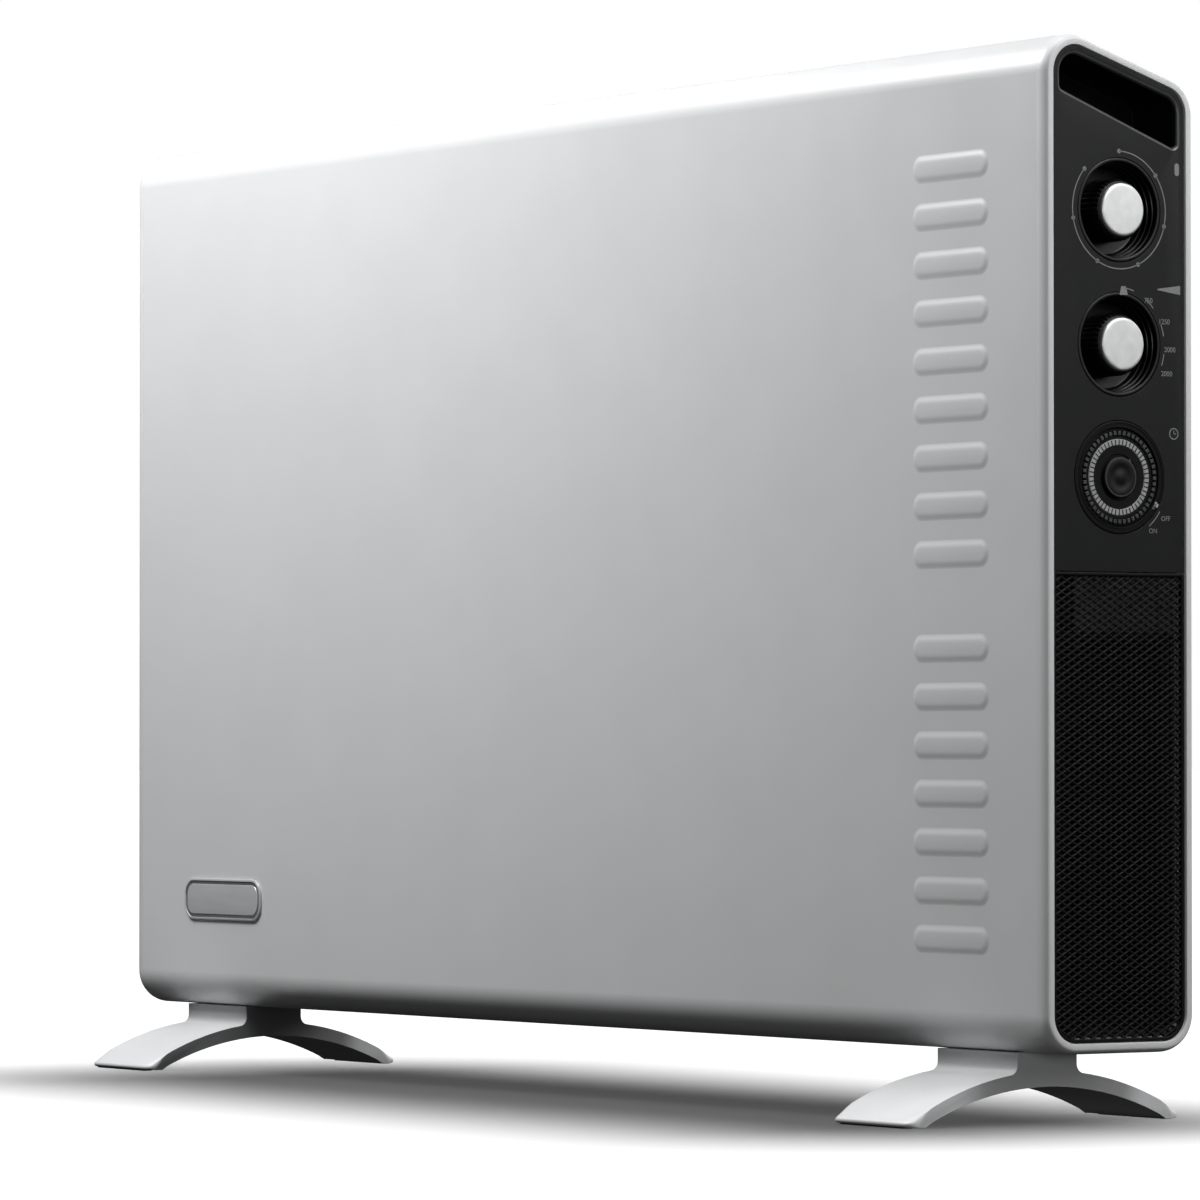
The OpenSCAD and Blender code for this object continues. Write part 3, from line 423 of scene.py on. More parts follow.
def merged_copy(node):
    """Bmesh copy of a CAD node, merged and with its flat faces joined."""
    bm = bmesh.new()
    bm.from_mesh(frame["nodes"][node].data)
    bmesh.ops.remove_doubles(bm, verts=bm.verts, dist=MERGE)
    bmesh.ops.dissolve_limit(bm, angle_limit=FLAT, verts=bm.verts, edges=bm.edges)
    return bm


def new_object(name, bm):
    """Object in the scene with the mesh of a bmesh, which is freed."""
    mesh = bpy.data.meshes.new(name)
    bm.to_mesh(mesh)
    bm.free()
    made = bpy.data.objects.new(name, mesh)
    bpy.context.scene.collection.objects.link(made)
    return made


def make_piece(
    name, bm, look, nodes=(), body="casing", sharp=32, bevel=None, solid=None
):
    """Turns a bmesh into a finished piece that rides on a body and stands for CAD nodes.

    The look is a finish or a material, sharp is in degrees, bevel is a width and its segments,
    and solid is the thickness that a sheet gets inwards.
    """
    piece = new_object(name, bm)
    mesh = piece.data
    mesh.shade_smooth()
    mesh.set_sharp_from_angle(angle=math.radians(sharp))
    mesh.materials.append(finish(look) if isinstance(look, str) else look)
    if solid:
        wall = piece.modifiers.new("Wall", "SOLIDIFY")
        wall.thickness = solid
        wall.offset = -1
    if bevel:
        edge = piece.modifiers.new("Edge", "BEVEL")
        edge.width, edge.segments = bevel
        edge.limit_method = "ANGLE"
        edge.angle_limit = math.radians(50)
        edge.harden_normals = True
    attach(piece, body)
    if nodes:
        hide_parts(*nodes)
    return piece


def softened(node, name, look, width, body="casing"):
    """Copy of a CAD node with softly broken edges that stands for it."""
    return make_piece(name, merged_copy(node), look, [node], body, bevel=(width, 2))


def turned_piece(
    name, look, centre, profile, nodes=(), body="casing", sharp=34, steps=128
):
    """Piece turned from a profile, as lathe takes it."""
    bm = bmesh.new()
    lathe(bm, centre, profile, steps)
    outward(bm)
    return make_piece(name, bm, look, nodes, body, sharp)


def add_node(tree, kind, sockets=(), **options):
    """Adds a node with its options; a socket gets a value, or a link to an output."""
    node = tree.nodes.new(kind)
    for name, value in options.items():
        setattr(node, name, value)
    for name, value in dict(sockets).items():
        if isinstance(value, bpy.types.NodeSocket):
            tree.links.new(value, node.inputs[name])
        else:
            node.inputs[name].default_value = value
    return node


class Finish:
    """Builds one procedural material, whose pitches and depths are in millimetres."""

    # Part of a noise's range that a pattern uses, and distance between wave rings at scale 1
    LOW, HIGH = 0.3, 0.7
    RINGS = 0.314

    def __init__(
        self, name, base, roughness, metallic=0.0, coat=0.0, coat_roughness=0.15, level=0.5
    ):
        self.material = bpy.data.materials.new(name)
        self.material.use_nodes = True
        self.tree = self.material.node_tree
        self.shader = self.tree.nodes["Principled BSDF"].inputs
        self.base = tuple(base)
        constants = {
            "Base Color": (*self.base, 1), "Roughness": roughness, "Metallic": metallic,
            "Coat Weight": coat, "Coat Roughness": coat_roughness, "Specular IOR Level": level,
        }
        for socket, value in constants.items():
            self.shader[socket].default_value = value
        self.place = add_node(self.tree, "ShaderNodeTexCoord").outputs["Object"]

    def pattern(self, pitch, detail, along):
        """Noise with features a pitch across, drawn out along the casing where along is under 1."""
        mapping = add_node(
            self.tree, "ShaderNodeMapping", {"Vector": self.place, "Scale": (along, 1, 1)}
        )
        noise = add_node(self.tree, "ShaderNodeTexNoise", {
            "Vector": mapping.outputs["Vector"], "Scale": 1 / (pitch * MM), "Detail": detail,
        })
        return noise.outputs["Fac"]

    def mottle(self, pitch, share, along=1, detail=3.0):
        """Slight drift of the colour, by a share of it."""
        source = self.pattern(pitch, detail, along)
        ramp = add_node(self.tree, "ShaderNodeValToRGB", {"Fac": source})
        changes = zip(ramp.color_ramp.elements, (self.LOW, self.HIGH), (1 - share, 1 + share))
        for stop, position, change in changes:
            stop.position = position
            stop.color = (*(min(1, part * change) for part in self.base), 1)
        self.tree.links.new(ramp.outputs["Color"], self.shader["Base Color"])

    def grain(self, pitch, depth, along=1):
        """Fine relief."""
        self.relief(self.pattern(pitch, 2.0, along), depth)

    def rub(self, pitch, low, high, along=1):
        """Uneven gloss between two roughnesses."""
        spread = add_node(self.tree, "ShaderNodeMapRange", {
            "Value": self.pattern(pitch, 3.0, along),
            "From Min": self.LOW, "From Max": self.HIGH, "To Min": low, "To Max": high,
        })
        self.tree.links.new(spread.outputs["Result"], self.shader["Roughness"])

    def relief(self, source, depth):
        """Bump from a pattern, a depth high."""
        bump = add_node(self.tree, "ShaderNodeBump", {"Height": source, "Distance": depth * MM})
        self.tree.links.new(bump.outputs["Normal"], self.shader["Normal"])

    def turned(self, centre, pitch, depth):
        """Concentric turning marks round an X-parallel axis through a depth and height."""
        mapping = add_node(self.tree, "ShaderNodeMapping", {
            "Vector": self.place, "Location": (0, -centre[0], -centre[1]),
        })
        wave = add_node(self.tree, "ShaderNodeTexWave", {
            "Vector": mapping.outputs["Vector"], "Scale": self.RINGS / (pitch * MM),
            "Distortion": 0.6, "Detail": 2.0,
        }, wave_type="RINGS", rings_direction="X")
        self.relief(wave.outputs["Fac"], depth)


# Arguments of Finish, then of its patterns where a finish has them. The key is also its colour's.
RECIPES = {
    # Satin powder coat on sheet steel: a soft sheen with a very fine orange peel
    "silver_paint": dict(
        name="satin silver paint", roughness=0.42, coat=0.15, coat_roughness=0.3,
        mottle=(60, 0.015), grain=(0.9, 0.006), rub=(30, 0.40, 0.46),
    ),
    # Silver moulded plastic: an even satin with a faint spark-eroded grain
    "silver_plastic": dict(
        name="moulded silver plastic", roughness=0.42,
        mottle=(25, 0.02), grain=(0.35, 0.008), rub=(18, 0.38, 0.46),
    ),
    # Finely grained moulded panel: satin black that greys a little in the light
    "fascia": dict(
        name="satin black panel", roughness=0.42, level=0.2,
        mottle=(12, 0.08), grain=(0.22, 0.012), rub=(20, 0.38, 0.48),
    ),
    # Panel edge round the hand pocket: glossier, and its lighter colour paints a thin highlight
    # line
    "lip": dict(
        name="polished black edge", roughness=0.36, level=0.75,
        mottle=(6, 0.1), grain=(0.3, 0.006), rub=(8, 0.32, 0.42),
    ),
    # Matt coat of the side grilles and the timer: deep black with hardly a reflection
    "mesh_black": dict(
        name="matt deep black", roughness=0.6, level=0.12,
        mottle=(4, 0.15), grain=(0.25, 0.015), rub=(9, 0.54, 0.66),
    ),
    # Black moulded plastic: slightly matt
    "black": dict(
        name="black moulded plastic", roughness=0.5, level=0.2,
        mottle=(10, 0.1), grain=(0.25, 0.015), rub=(15, 0.45, 0.56),
    ),
    # Polished plastic of dishes and knobs: narrow highlights on deep black
    "gloss": dict(
        name="gloss black plastic", roughness=0.34, level=0.3,
        mottle=(8, 0.1), grain=(2, 0.004), rub=(9, 0.3, 0.4),
    ),
    # Pad-printed ink: flat grey, laid a little unevenly
    "print_grey": dict(
        name="grey printed ink", roughness=0.6, mottle=(0.8, 0.12), grain=(0.2, 0.004),
    ),
    # Printed light band of the dial: flat and slightly speckled
    "band": dict(name="printed dial band", roughness=0.5, mottle=(0.9, 0.15), grain=(0.3, 0.006)),
    # Dark grey moulded tappets: worn a little lighter in places
    "dial_grey": dict(
        name="dark grey tappets", roughness=0.45, mottle=(1.2, 0.25), grain=(0.3, 0.01),
    ),
    # Line inlaid round the blank plate: dull dark grey
    "plate_line": dict(
        name="dark inlaid line", roughness=0.5, mottle=(3, 0.08), grain=(0.25, 0.006),
    ),
    # Brushed and lacquered face of the blank plate: satin silver with level streaks
    "plate_face": dict(
        name="satin silver plate", roughness=0.34, metallic=0.25,
        mottle=(4, 0.04, 0.2), rub=(4, 0.28, 0.4, 0.1),
    ),
    # Zinc-plated sheet steel: bright grey with rolling streaks
    "steel": dict(
        name="zinc-plated sheet", roughness=0.4, metallic=0.9,
        mottle=(6, 0.08, 0.2), rub=(5, 0.32, 0.5, 0.1),
    ),
    # Sheet steel behind the side panels, near-black as painted shade of the casing's inside: dead
    # matt
    "dark_steel": dict(
        name="black-phosphated steel", roughness=0.7, level=0.06,
        mottle=(6, 0.15), grain=(0.5, 0.01), rub=(6, 0.52, 0.68),
    ),
    # Turned steel of shafts, nuts and screws: bright, with uneven gloss
    "turned_steel": dict(
        name="turned steel", roughness=0.3, metallic=1.0, mottle=(2, 0.06), rub=(2, 0.24, 0.38),
    ),
    # Stove paint on the warm air outlet: satin grey
    "outlet": dict(
        name="satin grey outlet", roughness=0.45,
        mottle=(20, 0.03), grain=(0.8, 0.008), rub=(14, 0.4, 0.5),
    ),
    # Extruded aluminium fins: dulled and blotched by heat, with draw lines
    "element": dict(
        name="heat-dulled aluminium", roughness=0.5, metallic=0.9,
        mottle=(14, 0.12), grain=(0.4, 0.01, 0.1),
    ),
    # Unglazed steatite bushes: a darkened colour paints the shade behind the grille, so they stay
    # dull
    "ceramic": dict(name="steatite", roughness=0.7, mottle=(2, 0.06), grain=(0.8, 0.01)),
    # Drawn brass case of the thermal cut-out: warm and a little tarnished
    "brass": dict(
        name="drawn brass", roughness=0.35, metallic=1.0, mottle=(3, 0.1), rub=(3, 0.28, 0.45),
    ),
    # Soft black rubber of pads and wire sleeve: dusty matt
    "rubber": dict(
        name="soft black rubber", roughness=0.75,
        mottle=(2, 0.15), grain=(0.3, 0.02), rub=(4, 0.68, 0.82),
    ),
    # Cream moulded switch bodies: half matt
    "cream": dict(name="cream switch plastic", roughness=0.5, mottle=(5, 0.03), grain=(0.3, 0.01)),
    # Plain studio floor: matt, without reflections
    "floor": dict(name="pale floor", roughness=0.7, level=0.0, mottle=(400, 0.004)),
}
FINISHES = {}


def finish(key):
    """Material of a finish, made once from its recipe."""
    if key not in FINISHES:
        recipe = dict(RECIPES[key])
        kinds = [kind for kind in ("mottle", "grain", "rub") if kind in recipe]
        patterns = [(kind, recipe.pop(kind)) for kind in kinds]
        made = Finish(base=getattr(settings().colours, key), **recipe)
        for kind, sizes in patterns:
            getattr(made, kind)(*sizes)
        FINISHES[key] = made.material
    return FINISHES[key]


def spun_aluminium(name, centre):
    """Spun aluminium of a cap: bright metal with fine turning marks round its own centre."""
    made = Finish(name, settings().colours.cap, 0.42, metallic=0.85)
    made.mottle(5, 0.06, detail=4)
    made.rub(4, 0.36, 0.5)
    made.turned(centre, 0.4, 0.004)
    return made.material


def dark_gauze():
    """Dark gauze of the shadow card: it lets a little light through."""
    gauze = bpy.data.materials.new("dark gauze")
    gauze.use_nodes = True
    tree = gauze.node_tree
    veil = add_node(tree, "ShaderNodeBsdfTransparent", {"Color": (0.075, 0.075, 0.075, 1)})
    tree.links.new(veil.outputs["BSDF"], tree.nodes["Material Output"].inputs["Surface"])
    return gauze


class HEATER_OT_front_cover(Operator):
    """Builds the front cover with its pressed ribs"""

    bl_idname = "heater.front_cover"
    bl_label = "Front cover"

    def execute(self, context):
        p = Planes()
        self.skin(settings().casing, p)
        self.ribs(settings().front, p)
        return {"FINISHED"}

    @staticmethod
    def skin(c, p):
        """Painted sheet that wraps the front edges and ends at the seam."""
        bm = bmesh.new()
        ends = (-p.cover, -p.cover + MM, p.cover - MM, p.cover)
        loft(bm, [rounded(bm, side_place(x), p.corners(0), c.corner, 14, 0.5 * MM) for x in ends])
        cut_off(bm, (0, p.front + c.seam - 0.15 * MM, 0), (0, 1, 0))
        outward(bm)
        widest = max(bm.faces, key=lambda face: face.calc_area())
        if widest.normal.y > 0:
            bmesh.ops.reverse_faces(bm, faces=bm.faces)
        make_piece(
            "front_skin", bm, "silver_paint", ["front_cover"],
            bevel=(0.12 * MM, 1), solid=c.sheet,
        )

    @staticmethod
    def ribs(f, p):
        """Two rows of pressed ribs, each with a smooth rise to a flat top."""
        steps = 8
        levels = []
        for step in range(steps):
            t = step / (steps - 1)
            rise = f.rib_height * (3 * t * t - 2 * t * t * t)
            levels.append((rise - 0.02 * MM, f.rib_edge * (1 - 2 * t)))
        levels.append((f.rib_height + 0.01 * MM, -f.rib_edge - 0.4 * MM))
        heights = [f.low_start + i * f.rib_pitch for i in range(f.ribs_low)]
        heights += [f.high_start + i * f.rib_pitch for i in range(f.ribs_high)]
        bm = bmesh.new()
        for height in heights:
            middle = (p.end - f.rib_inset, p.base + height)
            rings = []
            for lift, grow in levels:
                half_length, radius = f.rib_length / 2 + grow, f.rib_width / 2 + grow
                place = front_place(p.front - lift)
                rings.append(pill_ring(bm, place, middle, half_length, radius))
            loft(bm, rings)
            bm.faces.new(rings[-1])
        bm.normal_update()
        bmesh.ops.reverse_faces(bm, faces=[face for face in bm.faces if face.normal.y > 0])
        make_piece("front_ribs", bm, "silver_paint", sharp=60)


class HEATER_OT_end_frames(Operator):
    """Builds the two moulded end frames"""

    bl_idname = "heater.end_frames"
    bl_label = "End frames"

    def execute(self, context):
        c, p = settings().casing, Planes()
        end, cover, seat = p.end, p.cover, p.seat
        ledge, spigot = seat - 2 * MM, cover - 12 * MM
        ledge_in, spigot_out = c.rim + 2.2 * MM, c.sheet + 0.15 * MM
        # X and inset: the swell from the cover, the rounded rim, the panel's ledge and the spigot
        path = [
            (cover, 0), (cover + 1.2 * MM, 0.02 * MM), (cover + 2.4 * MM, 0.14 * MM),
            (cover + 3.5 * MM, 0.38 * MM), (cover + 4.5 * MM, 0.76 * MM),
            (cover + 5.2 * MM, 1.14 * MM), (end - 0.35 * MM, 1.5 * MM),
            (end - 0.1 * MM, 1.85 * MM), (end, 2.3 * MM), (end, c.rim - 0.5 * MM),
            (end - 0.08 * MM, c.rim - 0.2 * MM), (end - 0.4 * MM, c.rim),
            (seat, c.rim), (seat, ledge_in), (ledge, ledge_in), (ledge, c.rim), (spigot, c.rim),
            (spigot, spigot_out), (cover, spigot_out),
        ]
        for side, name in ((1, "right"), (-1, "left")):
            bm = bmesh.new()
            rings = []
            for x, inset in path:
                radius = max(c.corner - inset, 2 * MM)
                rings.append(rounded(bm, side_place(side * x), p.corners(inset), radius, 12))
            loft(bm, rings, closed=True)
            outward(bm)
            make_piece(
                name + "_moulded_frame", bm, "silver_plastic", [name + "_end_frame"],
                sharp=38,
            )
        return {"FINISHED"}


class HEATER_OT_side_panels(Operator):
    """Builds the upper side panels and the hand pockets"""

    bl_idname = "heater.side_panels"
    bl_label = "Side panels"

    # Rounding of the pocket's mouth, its middle below the top line, and how low it reaches
    MOUTH_ROUND, MOUTH_MIDDLE, MOUTH_LOW = mm(1.3, 18, 34)

    def execute(self, context):
        p = Planes()
        for node, name in (("control_fascia", "fascia_panel"), ("left_panel", "left_side_panel")):
            bm = merged_copy(node)
            bmesh.ops.bevel(
                bm, geom=self.mouth(bm, p), offset=self.MOUTH_ROUND, segments=4, profile=0.5,
                affect="EDGES", material=1,
            )
            panel = make_piece(name, bm, "fascia", [node], bevel=(0.45 * MM, 2))
            # The second slot takes the lighter edge finish, a painted highlight on the mouth's
            # rounding
            panel.data.materials.append(finish("lip"))
        for side in ("right", "left"):
            softened(
                side + "_handle_cup", side + "_hand_pocket", "black", 0.3 * MM
            )
        return {"FINISHED"}

    def mouth(self, bm, p):
        """Edges round the mouth of the hand pocket on a panel's face."""
        middle = Vector((0, p.mid, p.line(p.mid) - self.MOUTH_MIDDLE))
        lowest = p.line(p.rear) - self.MOUTH_LOW
        found = []
        for edge in bm.edges:
            off_face = any(abs(abs(v.co.x) - p.panel) > 0.01 * MM for v in edge.verts)
            if off_face or any(v.co.z < lowest for v in edge.verts):
                continue
            walls = [face for face in edge.link_faces if abs(face.normal.x) < 0.5]
            inward = middle - (edge.verts[0].co + edge.verts[1].co) / 2
            if len(walls) == 1 and walls[0].normal.dot(inward) > 0:
                found.append(edge)
        return found


class HEATER_OT_side_grilles(Operator):
    """Builds the two side grilles as a fine diamond mesh in a border"""

    bl_idname = "heater.side_grilles"
    bl_label = "Side grilles"

    def execute(self, context):
        c, p = settings().casing, Planes()
        low, high = p.base + c.rim, p.split - c.gap / 2
        for side, name in ((1, "right"), (-1, "left")):
            self.mesh(name, side, low, high, c, p)
            self.border(name, side, high, c, p)
        return {"FINISHED"}

    @staticmethod
    def mesh(name, side, low, high, c, p):
        """Two crossed layers of strands, cut off inside the border."""
        k = settings().control
        tilt = math.atan2(k.mesh_step, k.mesh_pitch)
        gap = k.mesh_pitch * math.sin(tilt)
        reach = (high - low) + c.depth
        number = int(reach / 2 / gap) + 1
        middle = Vector((side * (p.panel - k.mesh_depth), p.mid, (low + high) / 2))
        # A strand has six sides, and a tenth more radius makes up for its flats
        radius = k.strand / 2 * 1.1
        lay = Matrix.Rotation(math.pi / 2, 4, "Y") @ Matrix.Rotation(math.pi / 6, 4, "Z")
        bm = bmesh.new()
        for turn in (tilt, -tilt):
            across = Vector((0, -math.sin(turn), math.cos(turn)))
            along = Vector((0, math.cos(turn), math.sin(turn)))
            turned = Matrix((along, across, along.cross(across))).transposed().to_4x4() @ lay
            for i in range(-number, number + 1):
                bmesh.ops.create_cone(
                    bm, cap_ends=False, segments=6, radius1=radius, radius2=radius, depth=reach,
                    matrix=Matrix.Translation(middle + across * gap * i) @ turned,
                )
        inset = c.rim + 1.1 * MM
        cuts = [
            ((0, p.front + inset, 0), (0, -1, 0)), ((0, p.rear - inset, 0), (0, 1, 0)),
            ((0, 0, p.base + inset), (0, 0, -1)), ((0, 0, high - 0.9 * MM), (0, 0, 1)),
        ]
        # Three flats take off each lower corner
        for turn in (22.5, 45, 67.5):
            turn = math.radians(turn)
            for sign, y in ((-1, p.front + c.corner), (1, p.rear - c.corner)):
                out = Vector((0, sign * math.cos(turn), -math.sin(turn)))
                cuts.append((Vector((0, y, p.base + c.corner)) + out * (c.corner - inset), out))
        for point, out in cuts:
            cut_off(bm, point, out)
        outward(bm)
        make_piece(name + "_grille_mesh", bm, "mesh_black", sharp=40)

    @staticmethod
    def border(name, side, high, c, p):
        """Border round a mesh, with two round lower corners and two tight upper ones."""
        outer, inner, edge = c.rim + c.gap, c.rim + 1.8 * MM, 0.3 * MM
        path = [
            (p.seat, outer), (p.panel - edge, outer), (p.panel, outer + edge),
            (p.panel, inner - edge), (p.panel - edge, inner), (p.seat, inner),
        ]
        half, tight = math.pi / 2, 0.4 * MM
        bm = bmesh.new()
        rings = []
        for x, inset in path:
            place, radius = side_place(side * x), c.corner - inset
            y0, y1 = p.front + inset, p.rear - inset
            z0, z1 = p.base + inset, high - (inset - outer)
            rings.append(join_rows(bm, [
                arc(bm, place, (y0 + radius, z0 + radius), radius, math.pi, half, 10),
                arc(bm, place, (y1 - radius, z0 + radius), radius, -half, half, 10),
                arc(bm, place, (y1 - tight, z1 - tight), tight, 0, half, 3),
                arc(bm, place, (y0 + tight, z1 - tight), tight, half, half, 3),
            ]))
        loft(bm, rings, closed=True)
        outward(bm)
        make_piece(
            name + "_grille_border", bm, "mesh_black", [name + "_grille"], sharp=40
        )


class HEATER_OT_knobs(Operator):
    """Builds both knobs with their caps and dishes"""

    bl_idname = "heater.knobs"
    bl_label = "Knobs"

    def execute(self, context):
        k, p = settings().control, Planes()
        for name, z in (("thermostat", p.thermostat), ("selector", p.selector)):
            centre = (p.mid, z)
            self.dish(name, centre, k, p)
            self.knob(name, centre, k, p)
            self.cap(name, centre, k, p)
        self.index((p.mid, p.selector), k, p)
        return {"FINISHED"}

    @staticmethod
    def dish(name, centre, k, p):
        """Dish with a flange behind the panel, a rounded mouth and stepped grooves in its wall."""
        bore, floor, rim = 5.5 * MM, k.dish_floor / 2, k.dish / 2
        outer, back, flange = rim + k.dish_wall, p.dish - k.dish_wall, p.seat - 1.6 * MM
        profile = [
            (bore, back), (floor + k.dish_wall, back), (outer - 0.4 * MM, flange),
            (outer + 2.5 * MM, flange), (outer + 2.5 * MM, p.seat), (outer, p.seat),
            (outer, p.panel - 0.35 * MM), (outer - 0.1 * MM, p.panel - 0.1 * MM),
            (outer - 0.35 * MM, p.panel), (rim + 0.35 * MM, p.panel),
            (rim + 0.08 * MM, p.panel - 0.12 * MM), (rim - 0.05 * MM, p.panel - 0.5 * MM),
        ]
        grooves = 3
        for i in range(grooves):
            share = (i + 1) / (grooves + 1)
            r = rim - (rim - floor) * share
            x = p.panel - k.dish_depth * share
            profile += [
                (r + 0.18 * MM, x + 0.35 * MM), (r - 0.14 * MM, x + 0.12 * MM),
                (r - 0.1 * MM, x - 0.2 * MM),
            ]
        profile += [
            (floor + 0.1 * MM, p.dish + 0.9 * MM), (floor - 0.25 * MM, p.dish + 0.25 * MM),
            (floor - 0.9 * MM, p.dish), (bore, p.dish), (bore, back),
        ]
        turned_piece(
            name + "_bowl", "gloss", centre, profile, [name + "_dish"], sharp=36
        )

    @staticmethod
    def knob(name, centre, k, p):
        """Knob with grip flutes sunk into its side."""
        back, face, r, cap = p.dish + 0.8 * MM, p.cap - k.cap_thick, k.knob / 2, k.cap / 2
        profile = [
            (3.01 * MM, back), (r - 0.4 * MM, back), (r, back + 0.4 * MM), (r, face - 2.6 * MM),
            (r - 0.12 * MM, face - 2.1 * MM), (cap + 1.2 * MM, face - 0.5 * MM),
            (cap + 0.75 * MM, face - 0.1 * MM), (cap + 0.4 * MM, face), (0, face),
        ]
        bm = bmesh.new()
        lathe(bm, centre, profile, k.flutes * 6)
        hub = Vector((0, *centre))
        for vert in bm.verts:
            spoke = vert.co - hub
            spoke.x = 0
            if spoke.length > cap + 0.9 * MM and vert.co.x > back + 0.3 * MM:
                wave = 0.5 - 0.5 * math.cos(k.flutes * math.atan2(spoke.z, spoke.y))
                vert.co -= spoke.normalized() * 0.55 * MM * wave
        bmesh.ops.holes_fill(bm, edges=[e for e in bm.edges if e.is_boundary], sides=0)
        outward(bm)
        make_piece(
            name + "_fluted_knob", bm, "gloss", [name + "_knob"], name + "_control",
            sharp=30,
        )

    @staticmethod
    def cap(name, centre, k, p):
        """Bright cap with a rounded edge and a faintly domed face."""
        base, r = p.cap - k.cap_thick, k.cap / 2
        profile = [
            (0, base), (r - 0.1 * MM, base), (r, base + 0.15 * MM), (r, p.cap - 0.85 * MM),
            (r - 0.12 * MM, p.cap - 0.42 * MM), (r - 0.42 * MM, p.cap - 0.12 * MM),
            (r - 0.85 * MM, p.cap - 0.02 * MM), (r - 1.6 * MM, p.cap), (0, p.cap - 0.05 * MM),
        ]
        turned_piece(
            name + "_spun_cap", spun_aluminium(name + " spun aluminium", centre), centre, profile,
            [name + "_cap"], name + "_control", sharp=40, steps=96,
        )

    @staticmethod
    def index(centre, k, p):
        """Thin dark mark on the selector's cap."""
        wide, high = mm(0.9, 3.2)
        middle = centre[1] + k.cap / 2 - 1.0 * MM - high / 2
        bm = bmesh.new()
        corners = upright(centre[0], middle, wide, high)
        bm.faces.new(rounded(bm, side_place(p.cap - 0.02 * MM), corners, 0.4 * MM, 4))
        bmesh.ops.solidify(bm, geom=bm.faces[:], thickness=0.02 * MM)
        outward(bm)
        make_piece("selector_index", bm, "black", body="selector_control")


